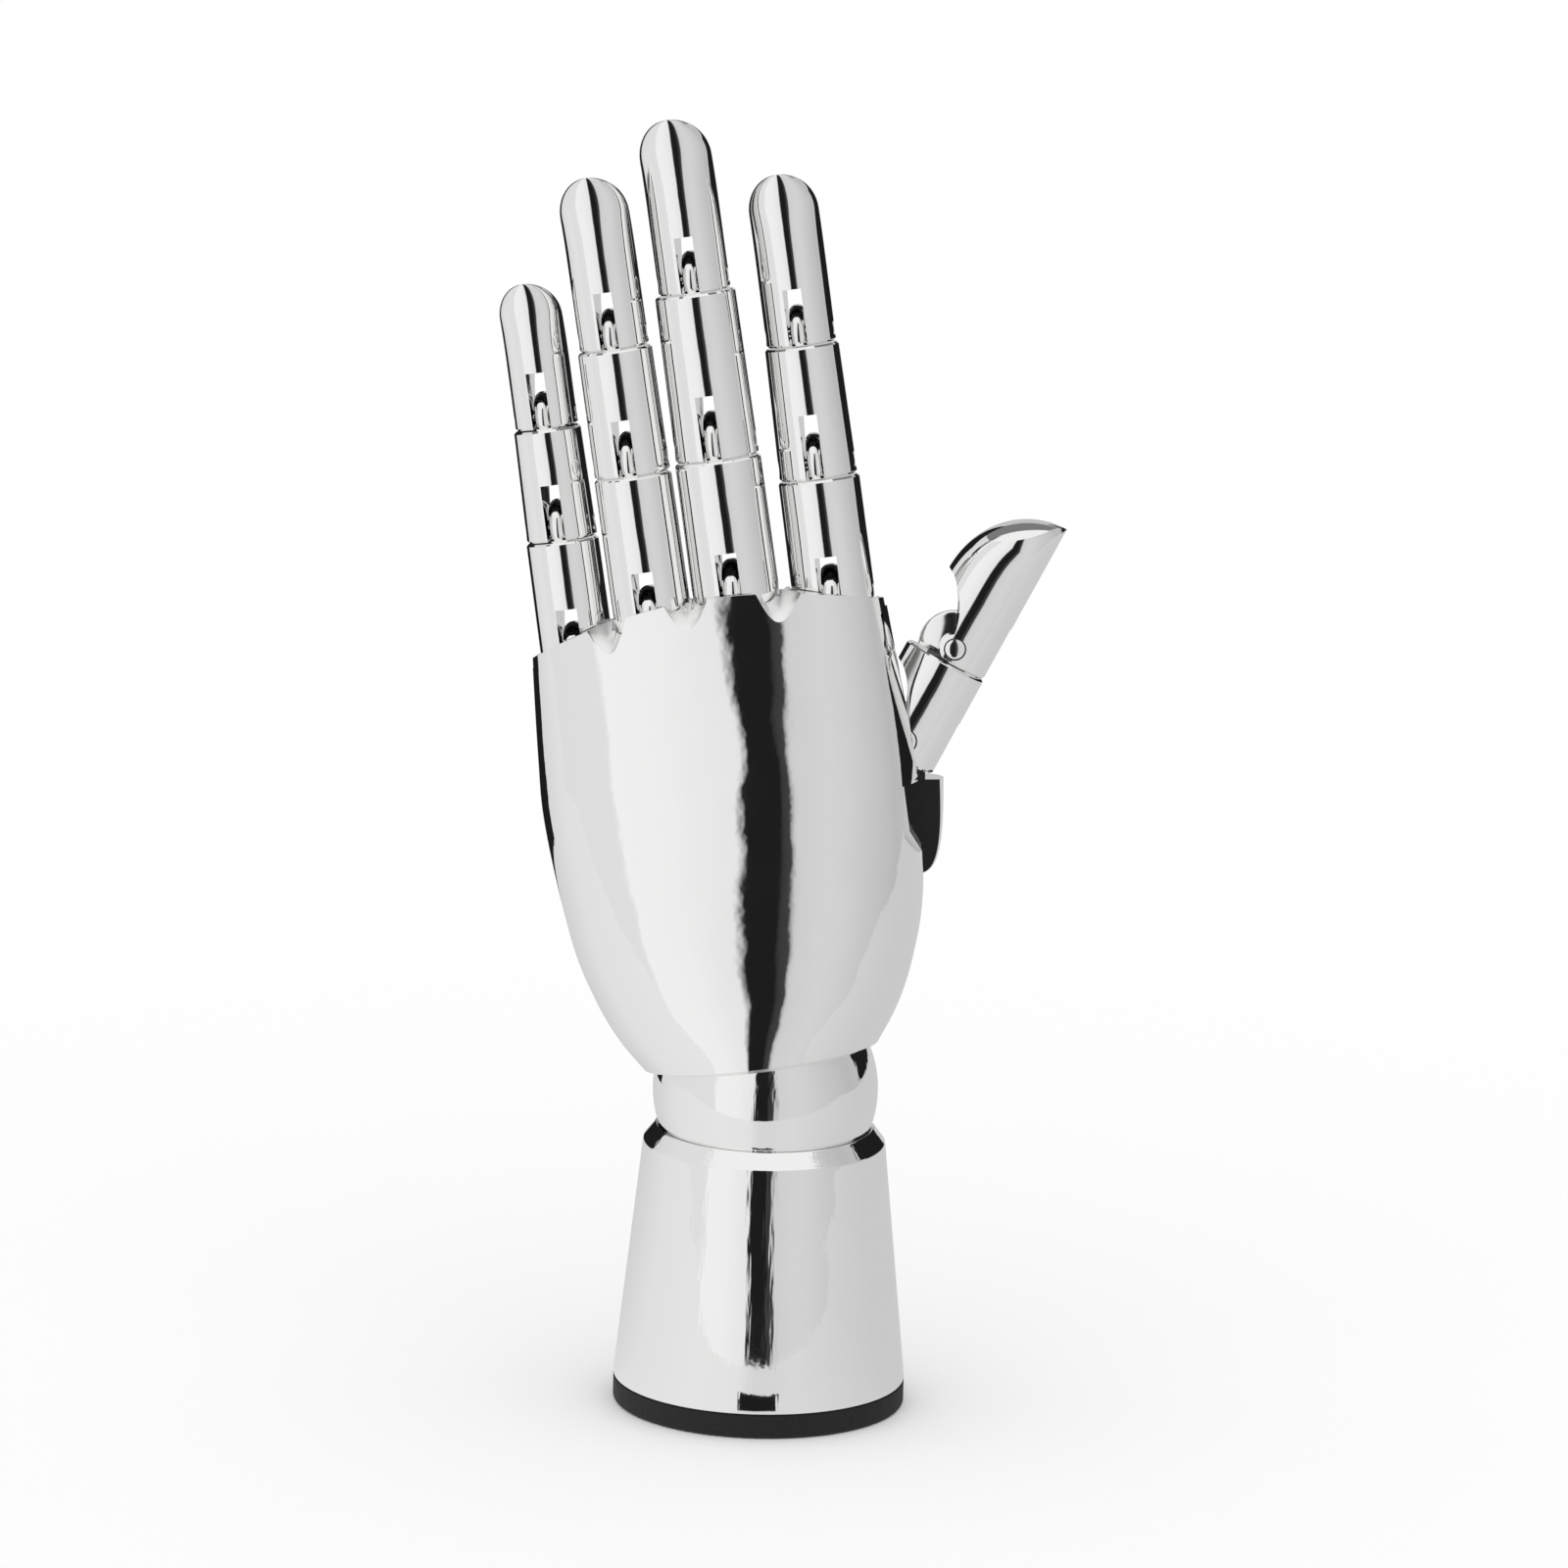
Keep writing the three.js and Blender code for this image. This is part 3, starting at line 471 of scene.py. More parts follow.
def cut(bm, tools, level=None, reach=0.04, sharp=30):
    """Cuts tools out of a shape and gives what is left of its skin the true normals of its form.

    A tool is a shape, its place, the operation and sometimes a function that picks each face's
    finish: 0 is the skin's, 1 a cut face's and 2 a slot's end, which gets a near-black painted shade.
    """
    scene = bpy.context.scene.collection
    mesh = bpy.data.meshes.new("work")
    bm.to_mesh(mesh)
    bm.free()
    work = bpy.data.objects.new("work", mesh)
    scene.objects.link(work)
    for _ in range(3):
        mesh.materials.append(None)
    cutters = []
    for tool, place, operation, *finish in tools:
        for face in tool.faces:
            face.material_index = finish[0](face) if finish else 1
        tool.transform(place)
        data = bpy.data.meshes.new("tool")
        tool.to_mesh(data)
        tool.free()
        for _ in range(3):
            data.materials.append(None)
        cutter = bpy.data.objects.new("tool", data)
        scene.objects.link(cutter)
        cutters.append(cutter)
        modifier = work.modifiers.new("cut", "BOOLEAN")
        modifier.object = cutter
        modifier.operation = operation
        modifier.solver = "MANIFOLD"
    bpy.context.view_layer.update()
    result = bpy.data.meshes.new_from_object(work.evaluated_get(bpy.context.evaluated_depsgraph_get()))
    for used in [work, *cutters]:
        bpy.data.objects.remove(used)
    true_normals(result, level, reach, sharp)
    return result


def true_normals(mesh, level, reach, sharp):
    """Shades a skin by the form that the level describes, and flat cut faces flat."""
    mesh.shade_smooth()
    mesh.set_sharp_from_angle(angle=math.radians(sharp))
    skins = [polygon.material_index == 0 for polygon in mesh.polygons]
    cache = {}
    normals = [corner.vector.copy() for corner in mesh.corner_normals]
    for polygon, skin in zip(mesh.polygons, skins):
        for corner in polygon.loop_indices:
            if not skin or level is None:
                normals[corner] = polygon.normal if not polygon.use_smooth else normals[corner]
                continue
            vertex = mesh.loops[corner].vertex_index
            if vertex not in cache:
                cache[vertex] = outward(level, mesh.vertices[vertex].co, reach)
            normals[corner] = cache[vertex]
    mesh.normals_split_custom_set(normals)


SWEEP_GAP = 0.5
KNUCKLE_TONGUE = 4.5
FINGER_TONGUE = 3.7
PIN_SHARE = 0.185
DISC_SHARE = 0.42
DEPTH_SHARE = 0.96

# Each finger's knuckle has a place across the palm and a seam at a height, with a wall of the
# palm behind it, and a turn and a lean in degrees. Its three pieces have lengths, widths (at
# both ends of the first two) and windows, which say how high each slot rises over its seam.
FINGERS = {
    "little": {
        "across": -30.888,
        "seam": 103.4,
        "wall": 3.2,
        "turn": 1.8,
        "lean": 0.5,
        "lengths": [29.1, 25.9, 34.1],
        "widths": [17.2, 16.9, 16.4, 15.6, 14.6],
        "windows": [13.5, 13.3, 13.3],
    },
    "ring": {
        "across": -11.616,
        "seam": 109.7,
        "wall": 2,
        "turn": 0.3,
        "lean": 0.9,
        "lengths": [36.3, 29.3, 40.3],
        "widths": [18.2, 18, 17.6, 17.3, 16.1],
        "windows": [14.2, 13.3, 13.5],
    },
    "middle": {
        "across": 8.184,
        "seam": 112.5,
        "wall": 2,
        "turn": 0,
        "lean": 0.6,
        "lengths": [34.9, 38.4, 40.6],
        "widths": [20.2, 20, 19.4, 18.7, 16.7],
        "windows": [13.6, 15.2, 13.3],
    },
    "index": {
        "across": 30.096,
        "seam": 108.8,
        "wall": 3.2,
        "turn": -2,
        "lean": 0.2,
        "lengths": [31.1, 30.7, 40.1],
        "widths": [19.2, 18.9, 18.1, 17.2, 16.2],
        "windows": [13.4, 15.2, 13.4],
    },
}


def joint_sizes(depth, tongue_width, window, pin_height=None):
    """Sizes of one joint, from the depth of the piece above it. Its pin stands over the seam."""
    return {
        "depth": depth,
        "tongue": tongue_width,
        "window": window,
        "pin": pin_height or PIN_SHARE * depth,
        "disc": DISC_SHARE * depth,
    }


for finger in FINGERS.values():
    depths = [DEPTH_SHARE * width for width in finger["widths"]]
    finger["depths"] = depths
    depths_above = [depths[0], depths[2], depths[4]]
    tongues = [KNUCKLE_TONGUE, FINGER_TONGUE, FINGER_TONGUE]
    finger["joints"] = [joint_sizes(*each) for each in zip(depths_above, tongues, finger["windows"])]
    knuckle = finger["joints"][0]
    finger["sweep"] = math.hypot(knuckle["depth"] / 2, knuckle["pin"]) + SWEEP_GAP
    back = palm_back_at(finger["across"], finger["seam"])
    finger["deep"] = back + finger["wall"] + finger["sweep"]
    finger["place"] = (
        Matrix.Translation((finger["across"], finger["deep"], finger["seam"] + knuckle["pin"]))
        @ Matrix.Rotation(math.radians(-finger["turn"]), 4, "Z")
        @ Matrix.Rotation(math.radians(-finger["lean"]), 4, "Y")
    )
finger_list = list(FINGERS.values())


def mid_gap(left, right):
    """The place across the palm that is midway between two fingers."""
    left_side = left["across"] + left["widths"][0] / 2
    return (left_side + right["across"] - right["widths"][0] / 2) / 2


def knuckle_seats():
    """Room for each finger's lower end, open to the palm side so that it can fold."""
    tools = []
    for i, finger in enumerate(finger_list):
        floor = -finger["joints"][0]["pin"] - CLEARANCE / 2
        side = finger["widths"][0] / 2 + CLEARANCE
        rings = [
            lambda turn, z=z: Vector((side * math.cos(turn), finger["sweep"] * math.sin(turn), z))
            for z in (floor, floor + BEYOND)
        ]
        tools.append((lofted(rings, 72), finger["place"], "DIFFERENCE"))
        open_side = box((-side, floor - SWEEP_GAP, floor), (side, BEYOND, floor + BEYOND))
        tools.append((open_side, finger["place"], "DIFFERENCE"))
        left = mid_gap(finger_list[i - 1], finger) if i else -BEYOND
        right = mid_gap(finger, finger_list[i + 1]) if i < 3 else BEYOND
        low = (left, finger["deep"], finger["seam"] - CLEARANCE / 2)
        tools.append((box(low, (right, BEYOND, BEYOND)), Matrix(), "DIFFERENCE"))
    return tools


WEB_RADIUS = 5.2
WEB_DEPTH = 8.2
WEB_SLOPE = 0.45
WEB_LEAN = 30
WEB_BLUNT_END = [(0, 0.5), (0.4, 0.38), (0.75, 0)]


def web_nicks():
    """A blunt cone sunk into the top edge between each two fingers."""
    tools = []
    flare = WEB_SLOPE * WEB_DEPTH
    tip = WEB_RADIUS - flare
    for left, right in zip(finger_list, finger_list[1:]):
        across = mid_gap(left, right)
        profile = [(tip * share, -WEB_DEPTH - tip * down) for share, down in WEB_BLUNT_END]
        profile += [(WEB_RADIUS, 0), (WEB_RADIUS + flare, WEB_DEPTH), (0, WEB_DEPTH)]
        place = Matrix.Translation((across, palm_back_at(across, PALM_TOP), top_edge_at(across)))
        place = place @ Matrix.Rotation(math.radians(-WEB_LEAN), 4, "X")
        tools.append((spun(profile, 72), place, "DIFFERENCE"))
    return tools


THUMB_PIN = Vector((40.6, 12.5, 76.6))
THUMB_PIN_HEIGHT = 9.4
THUMB_PIECE_DROP = 4.4
THUMB_TURN = 8
THUMB_OPENING = 36
ROOT_TILT = 7
ROOT_HEIGHT = 22.5
ROOT_RADIUS = 9.4
ROOT_POINTED = 0.7
ROOT_FULLNESS = 0.4
HOLLOW_RADIUS = 9.8
HOLLOW_LEAN = 8
HOLLOW_AWAY = 10.7
POCKET_LIP = 40.6
POCKET_LIP_DROP = 11.7
POCKET_DROP = 22.3
POCKET_SLOPE = 0.4


def plug_place(turn):
    """The frame of the thumb's plug in the hand, with its flat top at height 0."""
    turned = Matrix.Rotation(math.radians(ROOT_TILT), 4, "Y") @ Matrix.Rotation(math.radians(turn), 4, "Z")
    return Matrix.Translation(THUMB_PIN) @ turned @ Matrix.Translation((0, 0, -THUMB_PIN_HEIGHT))


def plug_profile(grown, steps=24):
    """The plug's bullet shape, or the room for it where it is grown by a gap."""
    points = [(0, -ROOT_HEIGHT - grown)]
    for i in range(1, steps + 1):
        angle = math.pi / 2 * i / steps
        radius = (ROOT_RADIUS + grown) * math.sin(angle) ** ROOT_FULLNESS
        height = -ROOT_HEIGHT * max(0, math.cos(angle)) ** ROOT_POINTED
        points.append((radius, height - grown * math.cos(angle)))
    return points + [(0, 0)]


def thumb_room():
    """The plug's seat, the hollow beside the thumb and the slanted pocket on the back."""
    place = plug_place(0)
    tools = [
        (spun(plug_profile(CLEARANCE), 72), place, "DIFFERENCE"),
        (rod(ROOT_RADIUS + CLEARANCE, -1, CLEARANCE), place, "DIFFERENCE"),
    ]
    hollow = rod(HOLLOW_RADIUS, -CLEARANCE, BEYOND, 72)
    outer = box((0, -HOLLOW_RADIUS, -CLEARANCE), (BEYOND, BEYOND, BEYOND))
    front = box((-HOLLOW_RADIUS, 0, -CLEARANCE), (BEYOND, BEYOND, BEYOND))
    inner = box((-HOLLOW_AWAY - BEYOND, -BEYOND, -BEYOND), (-HOLLOW_AWAY, BEYOND, BEYOND))
    lean = Matrix.Rotation(math.radians(HOLLOW_LEAN), 4, "Y")
    lean = Matrix.Translation((0, 0, THUMB_PIN_HEIGHT)) @ lean
    joined = [(outer, Matrix(), "UNION"), (front, Matrix(), "UNION"), (inner, lean, "DIFFERENCE")]
    room = bmesh.new()
    room.from_mesh(cut(hollow, joined))
    tools.append((room, place, "DIFFERENCE"))
    top = THUMB_PIN.z - THUMB_PIN_HEIGHT
    low = top - POCKET_DROP
    low_end = POCKET_LIP + POCKET_SLOPE * (POCKET_DROP - POCKET_LIP_DROP)
    outline = [(POCKET_LIP, top), (POCKET_LIP, top - POCKET_LIP_DROP), (low_end, low)]
    outline += [(BEYOND, low), (BEYOND, top)]
    tools.append((prism(outline, "xz", -BEYOND, THUMB_PIN.y), Matrix(), "DIFFERENCE"))
    return tools


# The palm's levels lie a little closer towards its foot.
LEVELS = 70
LEVELS_TO_FOOT = 1.2
ARCH_START = -50
ARCH_END = 60
shares = [(i / LEVELS) ** LEVELS_TO_FOOT for i in range(LEVELS + 1)]
heights = [PALM_BOTTOM + (PALM_END - PALM_BOTTOM) * share for share in shares]
palm_skin = lofted([lambda turn, z=z: palm_point(turn, z) for z in heights], 160)
arch = [(x, top_edge_at(x)) for x in range(ARCH_START, ARCH_END + 1, 2)]
arch += [(ARCH_END, BEYOND), (ARCH_START, BEYOND)]
palm_tools = [
    (prism(arch, "xz", -BEYOND, BEYOND), Matrix(), "DIFFERENCE"),
    (spun(arc((0, 0), socket_radius, -90, 90, 48), 120), Matrix(), "DIFFERENCE"),
    (rod(SPRING_BORE_RADIUS, 0, SPRING_BORE_TOP), Matrix(), "DIFFERENCE"),
    *knuckle_seats(),
    *web_nicks(),
    *thumb_room(),
]
palm_mesh = cut(palm_skin, palm_tools, palm_level, reach=0.6)
palm_chrome = plated("plated palm", 30, 1.1)
recess_chrome = plated("plated recesses", 20, 0.02, 0.32)
dressed("palm_plated", palm_mesh, HAND, [palm_chrome, recess_chrome], "hand", "palm")

# Each finger piece is a plated tube-like block with a fork at its lower end: a window through
# it for the tongue of the piece below, a hollow on the palm side and a cross pin.
SIDES = 96
PIN_RADIUS = 1.6
PIN_SPARE = 0.1
PIN_RECESS = 0.25
HEAD_SHARE = 0.62
HEAD_DEPTH = 1.0
HEAD_ROOM = 0.35
FORK_DEPTH = 20
FORK_BEND = (2.8, 10)
FORK_END = (8.4, 15)
FORK_FLARE = 0.5
PAST_END = 5
NOSE_SHARE = 0.55
SOFT_SHARE = 1.3
SOFT_POWER = 2.2
LEAST_TIP = 0.06
SEAM_EDGE = 0.5

# The rings that break a seam's edge, with a close pair on each side of the corner.
EDGE_RINGS = [0, SEAM_EDGE - 0.05, SEAM_EDGE, SEAM_EDGE + 0.05]
finger_chrome = plated("plated fingers", 14, 0.2)
joint_steel = plated("plated joints", 5, 0.03, 0.08)
# A near-black metal paints the shade that falls at the end of each slot.
slot_end_painted_shade, *_ = surface("painted shade at the slot ends", (0.03, 0.03, 0.03, 1), 0.45, 1.0)
finger_finish_and_slot_shade = [finger_chrome, finger_chrome, slot_end_painted_shade]


def oval(a, b, z, shift=0.0):
    """A ring at a height, as a function from a turn to a point."""
    return lambda turn: Vector((a * math.cos(turn), b * math.sin(turn) + shift, z))


def slot_walls_and_painted_shade(face):
    """The end of a slot gets a near-black colour as painted shade, its walls are plated."""
    return 2 if face.normal.z > 0.5 else 1


def head_radius(joint):
    """The radius of the pin's head, as large as the fork's eye has room for."""
    return max(PIN_RADIUS, HEAD_SHARE * joint["pin"])


def fork_tools(joint, width):
    """What is cut from a piece's lower end: the hollow on the palm side, the slot and the eye.

    The hollow goes round the pin and then leaves it in a curve, which grows with the piece.
    """
    bottom = CLEARANCE / 2 - joint["pin"]
    outline = arc((0, 0), -bottom, -90, 60, 15)
    first = outline[-1]
    share = joint["depth"] / FORK_DEPTH
    control, hook = ([size * share for size in point] for point in (FORK_BEND, FORK_END))
    for i in range(1, 11):
        t = i / 10
        ends = [(1 - t) ** 2 * p + t**2 * r for p, r in zip(first, hook)]
        outline.append(tuple(end + 2 * t * (1 - t) * q for end, q in zip(ends, control)))
    far = joint["depth"]
    below = bottom - PAST_END
    outline += [(far, hook[1] + (far - hook[0]) * FORK_FLARE), (far, below), (0, below)]
    half = joint["tongue"] / 2 + CLEARANCE
    window = box((-half, -BEYOND, -BEYOND), (half, BEYOND, joint["window"] - joint["pin"]))
    across = Matrix.Rotation(math.pi / 2, 4, "Y")
    head = head_radius(joint) + HEAD_ROOM
    deep = width / 2 - HEAD_DEPTH
    return [
        (prism(outline, "yz", -BEYOND, BEYOND), Matrix(), "DIFFERENCE"),
        (window, Matrix(), "DIFFERENCE", slot_walls_and_painted_shade),
        (rod(PIN_RADIUS + CLEARANCE, -BEYOND, BEYOND, 32), across, "DIFFERENCE"),
        (rod(head, deep, BEYOND), across, "DIFFERENCE"),
        (rod(head, -BEYOND, -deep), across, "DIFFERENCE"),
    ]


def straight_piece(joint, following, length, widths, depths):
    """A finger's lower or middle piece, which tapers a little, with broken edges at its seams."""
    bottom = CLEARANCE / 2 - joint["pin"]
    top = length - following["pin"] - CLEARANCE / 2

    def half(z):
        share = (z - bottom) / (top - bottom)
        inset = max(0, SEAM_EDGE - min(z - bottom, top - z))
        return [(low + (high - low) * share) / 2 - inset for low, high in (widths, depths)]

    def level(p):
        a, b = half(p[2])
        return (p[0] / a) ** 2 + (p[1] / b) ** 2

    heights = [bottom + rise for rise in EDGE_RINGS]
    heights += [bottom + (top - bottom) * i / 4 for i in (1, 2, 3)]
    heights += [top - rise for rise in reversed(EDGE_RINGS)]
    rings = [oval(*half(z), z) for z in heights]
    return cut(lofted(rings, SIDES), fork_tools(joint, widths[0]), level)


def end_piece(joint, length, width, depth):
    """A finger's end: straight at the back, rounded from side to side and to the palm side."""
    bottom = CLEARANCE / 2 - joint["pin"]
    top = length - joint["pin"]
    nose = top - width * NOSE_SHARE
    soft = top - width * SOFT_SHARE

    def section(z):
        along_nose = max(0, (z - nose) / (top - nose))
        round_off = max(LEAST_TIP, math.sqrt(max(0, 1 - along_nose**2)))
        fall = max(0, (z - soft) / (top - soft))
        thin = max(LEAST_TIP, math.sqrt(max(0, 1 - fall**SOFT_POWER)))
        inset = max(0, SEAM_EDGE + bottom - z)
        b = depth / 2 * thin
        return width / 2 * round_off - inset, b - inset, b + (-depth / 2)

    def level(p):
        a, b, shift = section(min(top - 0.01, p[2]))
        return (p[0] / a) ** 2 + ((p[1] - shift) / b) ** 2

    heights = [bottom + rise for rise in EDGE_RINGS]
    heights += [heights[-1] + (soft - heights[-1]) * i / 3 for i in (1, 2, 3)]
    heights += [soft + (top - soft) * math.sin(math.pi / 2 * i / 28) for i in range(1, 29)]
    rings = []
    for z in heights:
        a, b, shift = section(z)
        rings.append(oval(a, b, z, shift))
    return cut(lofted(rings, SIDES), fork_tools(joint, width), level)


RIM_FALL = 0.9
RIM_POWER = 2.6
TENON_DEPTH = 4.5
TENON_SHARE = 0.6


def tongue_piece(joint, drop, crown):
    """A disc on the pin with a foot that goes down into the piece below."""
    half = joint["tongue"] / 2
    radius = joint["disc"]
    dome = [(0, 0), (0.35, 0.06), (0.6, 0.27), (0.8, 0.6)]
    profile = [(share * (radius - RIM_FALL), -half + fall * crown) for share, fall in dome]
    for i in range(9):
        away = (half - crown) * (1 - i / 8)
        profile.append((radius - RIM_FALL * (away / (half - crown)) ** RIM_POWER, -away))
    profile += [(across, -depth) for across, depth in reversed(profile[:-1])]
    disc = spun(profile, 96)
    disc.transform(Matrix.Rotation(math.pi / 2, 4, "Y"))
    deep = TENON_SHARE * radius
    foot = box((-half, -deep, -drop - TENON_DEPTH), (half, deep, -radius / 3))
    below = box((-BEYOND, -BEYOND, -BEYOND), (BEYOND, BEYOND, CLEARANCE / 2 - drop))
    return cut(disc, [(below, Matrix(), "DIFFERENCE"), (foot, Matrix(), "UNION")])


def add_joint(name, joint, place, width, bodies, tongue_drop=None, tongue_place=None, crown=0.2):
    """A tongue on the body below and a pin, with a head at each end, in the body above."""
    below, above = bodies
    drop = joint["pin"] if tongue_drop is None else tongue_drop
    standing = place if tongue_place is None else tongue_place
    disc = tongue_piece(joint, drop, crown)
    dressed(name + "_disc", disc, standing, joint_steel, below, name + "_tongue")
    end = width / 2 - PIN_RECESS
    head = head_radius(joint)
    neck = width / 2 - HEAD_DEPTH + PIN_SPARE
    dome = [(0, 0), (0.35, 0.02), (0.65, 0.09), (0.85, 0.18), (1, 0.35)]
    profile = [(share * head, fall - end) for share, fall in dome]
    profile += [(head, -neck), (PIN_RADIUS - PIN_SPARE, -neck)]
    profile += [(radius, -height) for radius, height in reversed(profile)]
    bm = spun(profile, 32)
    bm.transform(Matrix.Rotation(math.pi / 2, 4, "Y"))
    finished(name + "_cross_pin", bm, place, joint_steel, above, name + "_pin", 40)


for name, finger in FINGERS.items():
    joints, lengths, widths, depths = (finger[k] for k in ("joints", "lengths", "widths", "depths"))
    bodies = ["hand", name + "_proximal", name + "_middle", name + "_tip"]
    knuckle = HAND @ finger["place"]
    middle = knuckle @ Matrix.Translation((0, 0, lengths[0]))
    end = middle @ Matrix.Translation((0, 0, lengths[1]))
    add_joint(name + "_knuckle", joints[0], knuckle, widths[0], bodies[0:2])
    add_joint(name + "_middle_joint", joints[1], middle, widths[2], bodies[1:3])
    add_joint(name + "_end_joint", joints[2], end, widths[4], bodies[2:4])
    lower = straight_piece(joints[0], joints[1], lengths[0], widths[:2], depths[:2])
    dressed(name + "_lower_piece", lower, knuckle, finger_finish_and_slot_shade, name + "_proximal", name + "_proximal")
    upper = straight_piece(joints[1], joints[2], lengths[1], widths[2:4], depths[2:4])
    dressed(name + "_middle_piece", upper, middle, finger_finish_and_slot_shade, name + "_middle", name + "_middle")
    tip = end_piece(joints[2], lengths[2], widths[4], depths[4])
    dressed(name + "_end_piece", tip, end, finger_finish_and_slot_shade, name + "_tip", name + "_tip")

# The thumb has two pieces like a finger's on a bullet-shaped plug. The plug has a flat face on the
# back of the hand and turns on a pivot in the palm, so the thumb swings across the palm.
THUMB_LENGTHS = [24.5, 40]
THUMB_WIDTHS = [17.6, 17.2, 17, 16.6]
THUMB_DEPTHS = [20.2, 20, 19.8, 19.6]
THUMB_WINDOWS = [13.5, 13.4]
THUMB_CROWN = 1.1
FACE_AWAY = 4.2
FACE_LEAN = 4
root_place = HAND @ plug_place(THUMB_TURN)
face = box((-BEYOND, -BEYOND, -BEYOND), (BEYOND, -FACE_AWAY, BEYOND))
face_lean = Matrix.Rotation(math.radians(FACE_LEAN), 4, "X")
plug = cut(spun(plug_profile(0), 96), [(face, face_lean, "DIFFERENCE")])
flat_chrome = plated("plated flat face", 20, 0.01)
dressed("thumb_plug", plug, root_place, [finger_chrome, flat_chrome], "thumb_root", "thumb_root")
low_joint = joint_sizes(THUMB_DEPTHS[0], FINGER_TONGUE, THUMB_WINDOWS[0], THUMB_PIECE_DROP)
high_joint = joint_sizes(THUMB_DEPTHS[2], FINGER_TONGUE, THUMB_WINDOWS[1])
upright = root_place @ Matrix.Translation((0, 0, THUMB_PIN_HEIGHT))
upright = upright @ Matrix.Rotation(math.pi / 2, 4, "Z")
lower_place = upright @ Matrix.Rotation(math.radians(THUMB_OPENING - ROOT_TILT), 4, "X")
tip_place = lower_place @ Matrix.Translation((0, 0, THUMB_LENGTHS[0]))
low_bodies = ["thumb_root", "thumb_proximal"]
high_bodies = ["thumb_proximal", "thumb_tip"]
add_joint("thumb_root", low_joint, lower_place, THUMB_WIDTHS[0], low_bodies, THUMB_PIN_HEIGHT, upright)
add_joint("thumb_joint", high_joint, tip_place, THUMB_WIDTHS[2], high_bodies, crown=THUMB_CROWN)
lower = straight_piece(low_joint, high_joint, THUMB_LENGTHS[0], THUMB_WIDTHS[:2], THUMB_DEPTHS[:2])
dressed("thumb_lower_piece", lower, lower_place, finger_finish_and_slot_shade, "thumb_proximal", "thumb_proximal")
tip = end_piece(high_joint, THUMB_LENGTHS[1], THUMB_WIDTHS[2], THUMB_DEPTHS[2])
dressed("thumb_end_piece", tip, tip_place, finger_finish_and_slot_shade, "thumb_tip", "thumb_tip")

# The wrist spring runs through the ball from the base to the palm, of plain steel wire. It bends
# at the ball's centre; its CAD shape is cut in two there and each half is closed.
SPRING_BEND = 0.012  # in metres, like the CAD mesh that the halves are taken from
centre = Vector((0, 0, BALL_HEIGHT / 1000))
bend = Vector((0, 0, SPRING_BEND))
for name, side, bodies in (
    ("spring_lower_half", -1, ("ball", "spring", centre - bend, centre)),
    ("spring_upper_half", 1, ("spring", "hand", centre, centre + bend)),
):
    half = bmesh.new()
    half.from_mesh(frame["nodes"]["wrist_spring"].data)
    bmesh.ops.remove_doubles(half, verts=half.verts, dist=1e-6)
    whole = half.verts[:] + half.edges[:] + half.faces[:]
    bmesh.ops.bisect_plane(half, geom=whole, plane_co=centre, plane_no=(0, 0, side), clear_inner=True)
    bmesh.ops.holes_fill(half, edges=[edge for edge in half.edges if edge.is_boundary])
    finished(name, half, Matrix.Scale(1000, 4), joint_steel, bodies, "wrist_spring")

# The pin and the eye that hold the spring's two ends, and the thumb's pivot, are plain steel,
# hidden inside, and keep their CAD shapes.
for name in ("base_spring_pin", "palm_spring_eye", "thumb_pivot"):
    frame["nodes"][name].data.materials.clear()
    frame["nodes"][name].data.materials.append(joint_steel)

# The studio: a white table, and a bright room for the plating to mirror. The camera's side is
# dark, the right half of the room is greyer, and tall black flags stand behind on both sides.
# Levels go by the direction round the hand, in degrees from the camera's side.
BLACK = 0.012
CEILING_LEVEL = 0.9
CEILING_FROM = (48, 52)
ROOM_BY_TURN = [
    (-180, 0.55),
    (-150, 0.62),
    (-128, 0.7),
    (-104, 0.75),
    (-54, 0.77),
    (-52, 0.91),
    (-30, 0.89),
    (-20, 0.85),
    (-11.8, 0.82),
    (-10.6, BLACK),
    (3.2, BLACK),
    (4.5, 0.04),
    (8.5, 0.05),
    (10.5, 0.6),
    (14, 0.65),
    (30, 0.68),
    (45, 0.655),
    (62, 0.6),
    (80, 0.555),
    (98, 0.5),
    (125, 0.55),
    (180, 0.55),
]
TABLE_BY_TURN = [
    (-180, 0.6),
    (-130, 0.7),
    (-100, 0.78),
    (-45, 0.82),
    (-15, 0.8),
    (-4, 0.7),
    (8, 0.7),
    (25, 0.72),
    (50, 0.68),
    (75, 0.64),
    (100, 0.61),
    (180, 0.6),
]


def level_by_turn(start, coordinates, levels):
    """A level that goes by the direction round the hand, in degrees from the camera's side."""
    parts = start.node("ShaderNodeSeparateXYZ", {}, {"Vector": coordinates})
    x, y, z = (Wire(start.tree, parts.socket.node.outputs[k]) for k in ("X", "Y", "Z"))
    turn = start.math("ARCTAN2", x, 0 - y) * (0.5 / math.pi) + 0.5
    stops = [(degrees / 360 + 0.5, (level, level, level, 1)) for degrees, level in levels]
    return start.node("ShaderNodeValToRGB", {"stops": stops}, {"Fac": turn}), z


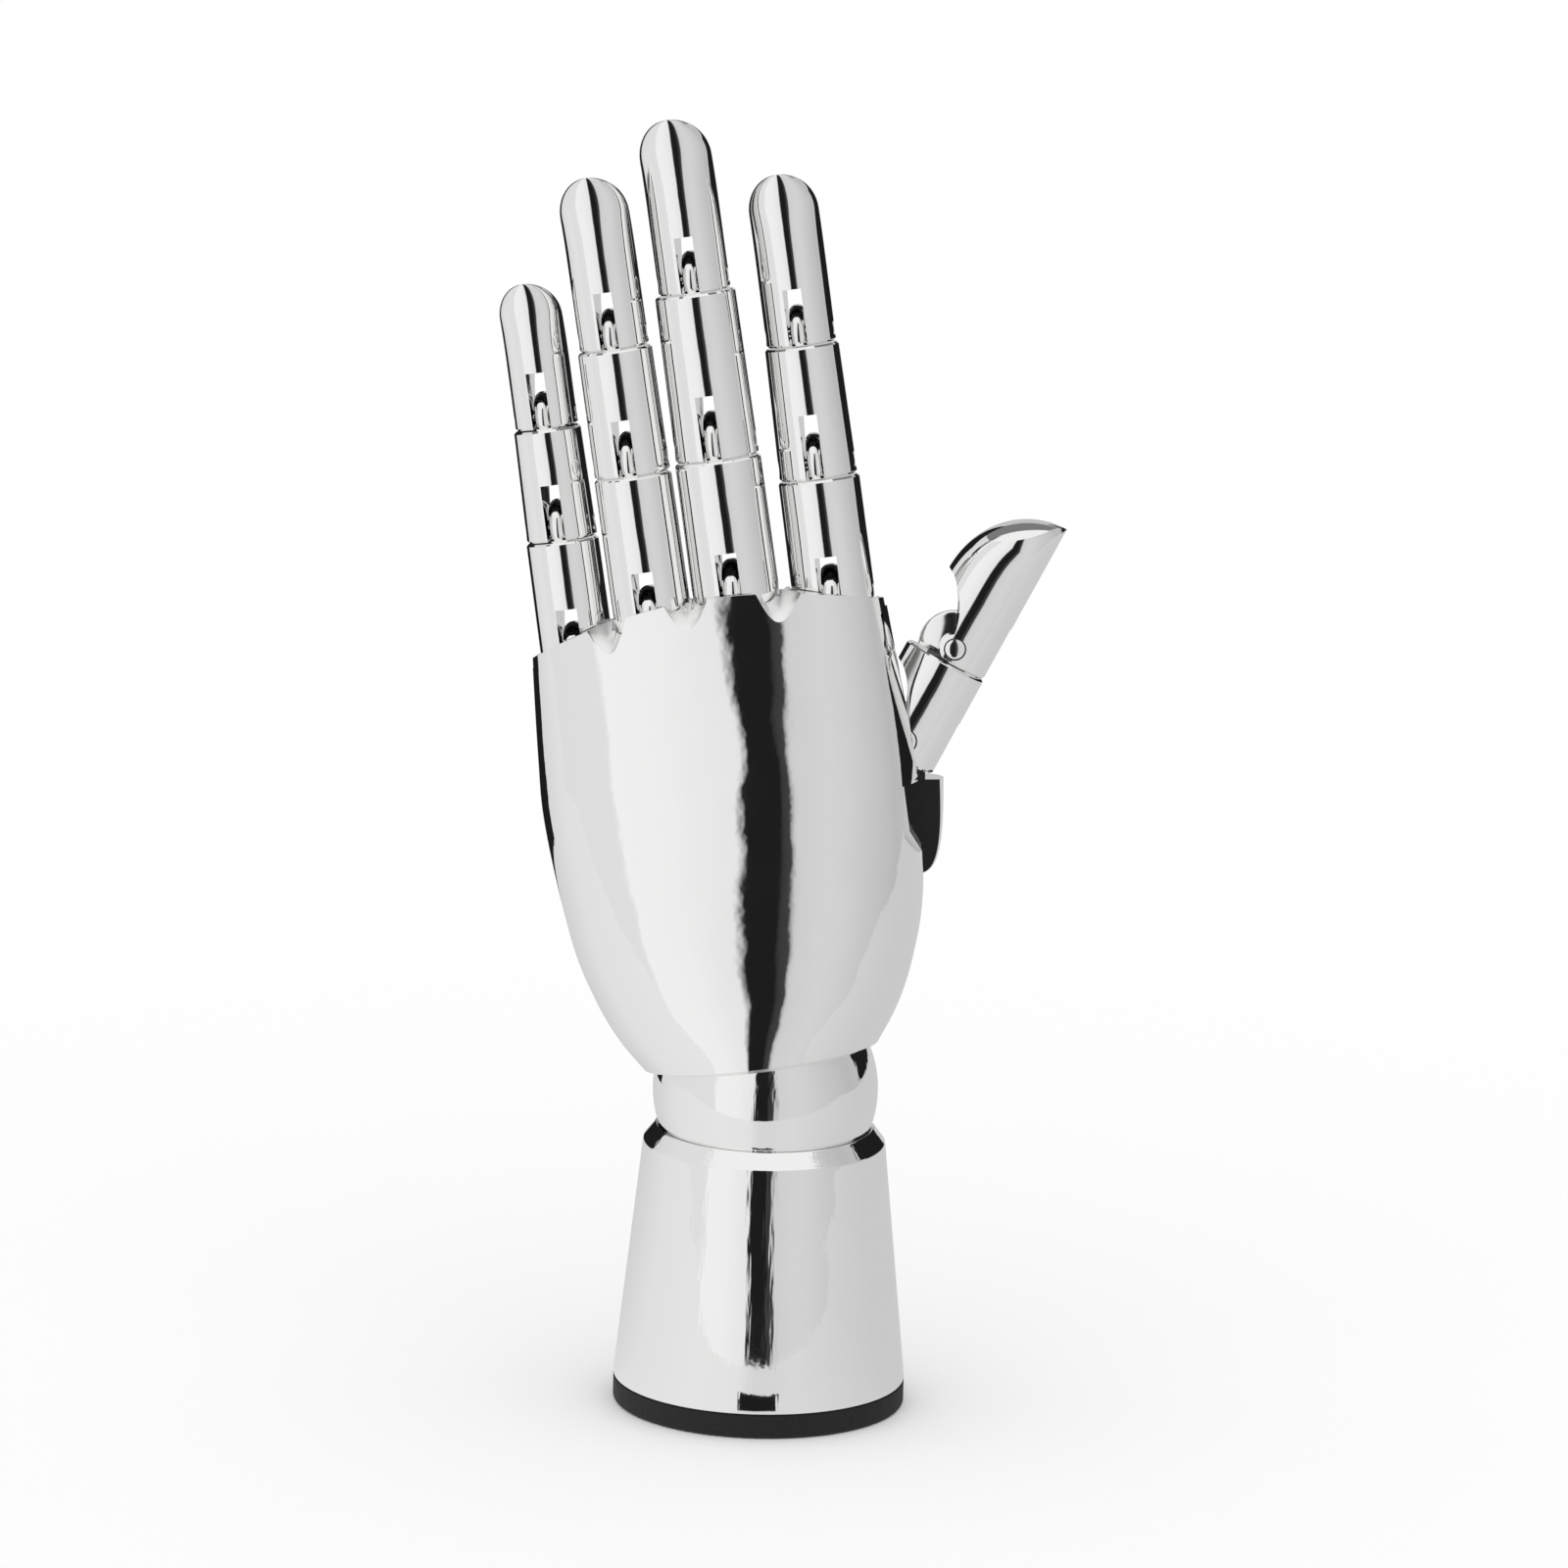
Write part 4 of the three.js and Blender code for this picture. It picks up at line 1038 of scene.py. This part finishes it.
def stand(name, size, place, level):
    """A flat card. One with a level is seen only in the plating, and has that level there."""
    bm = bmesh.new()
    bmesh.ops.create_grid(bm, x_segments=1, y_segments=1, size=0.5)
    bm.transform(place @ Matrix.Diagonal((*size, 1, 1)))
    mesh = bpy.data.meshes.new(name)
    bm.to_mesh(mesh)
    bm.free()
    made = bpy.data.objects.new(name, mesh)
    bpy.context.scene.collection.objects.link(made)
    colour = (1, 1, 1, 1) if level is None else (0, 0, 0, 1)
    material, tree, shader, start = surface(name, colour, 1.0)
    shader.inputs["Specular IOR Level"].default_value = 0.0
    if isinstance(level, list):
        spot = start.node("ShaderNodeTexCoord", output="Object")
        shade, _ = level_by_turn(start, spot, level)
        tree.links.new(shade.socket, shader.inputs["Emission Color"])
    elif level is not None:
        shader.inputs["Emission Color"].default_value = (level, level, level, 1)
    if level is not None:
        shader.inputs["Emission Strength"].default_value = 1.0
        made.visible_camera = False
        made.visible_diffuse = False
        made.visible_shadow = False
    mesh.materials.append(material)
    return made


TABLE_FRONT = -0.225
TABLE_SIZE = (3, 2.5)
table_seen = Matrix.Translation((0, TABLE_FRONT + TABLE_SIZE[1] / 2, 0))
floor = stand("table", (12, 12), Matrix(), None)
floor.visible_glossy = False
stand("table in the plating", TABLE_SIZE, table_seen, TABLE_BY_TURN)
stand("grey card overhead", (1.8, 1.5), Matrix.Translation((0, 0.95, 1.3)), 0.2)


def flag(name, away, turns, low, high):
    """A black upright card, between two directions round the hand."""
    angles = [math.radians(turn) for turn in turns]
    first, last = (Vector((math.sin(a), -math.cos(a), 0)) * away for a in angles)
    span = last - first
    facing = Matrix.Rotation(math.atan2(span.y, span.x), 4, "Z") @ Matrix.Rotation(math.pi / 2, 4, "X")
    place = Matrix.Translation((first + last) / 2 + Vector((0, 0, (low + high) / 2))) @ facing
    stand(name, (span.length, high - low), place, BLACK)


flag("left flag", 0.45, (-130, -172), 0.001, 0.5)
flag("right flag", 0.7, (112, 165), 0.07, 0.5)
flag("low card in front", 0.075, (-11.5, 10.5), 0.0005, 0.0075)


def studio():
    world = bpy.data.worlds.new("studio")
    world.use_nodes = True
    bpy.context.scene.world = world
    tree = world.node_tree
    background = tree.nodes["Background"]
    start = Wire(tree)
    direction = start.node("ShaderNodeTexCoord", output="Generated")
    room, height = level_by_turn(start, direction, ROOM_BY_TURN)
    rise = start.math("ARCSINE", height) * (180 / math.pi)
    ceiling = rise.step(*CEILING_FROM)
    seen = room * (1 - ceiling) + ceiling * CEILING_LEVEL
    path = start.node("ShaderNodeLightPath")
    glossy = Wire(tree, path.socket.node.outputs["Is Glossy Ray"])
    strength = seen * glossy + (1 - glossy)
    tree.links.new(strength.socket, background.inputs["Strength"])
    background.inputs["Color"].default_value = (1, 1, 1, 1)


studio()

scene = bpy.context.scene
scene.view_settings.view_transform = "Standard"
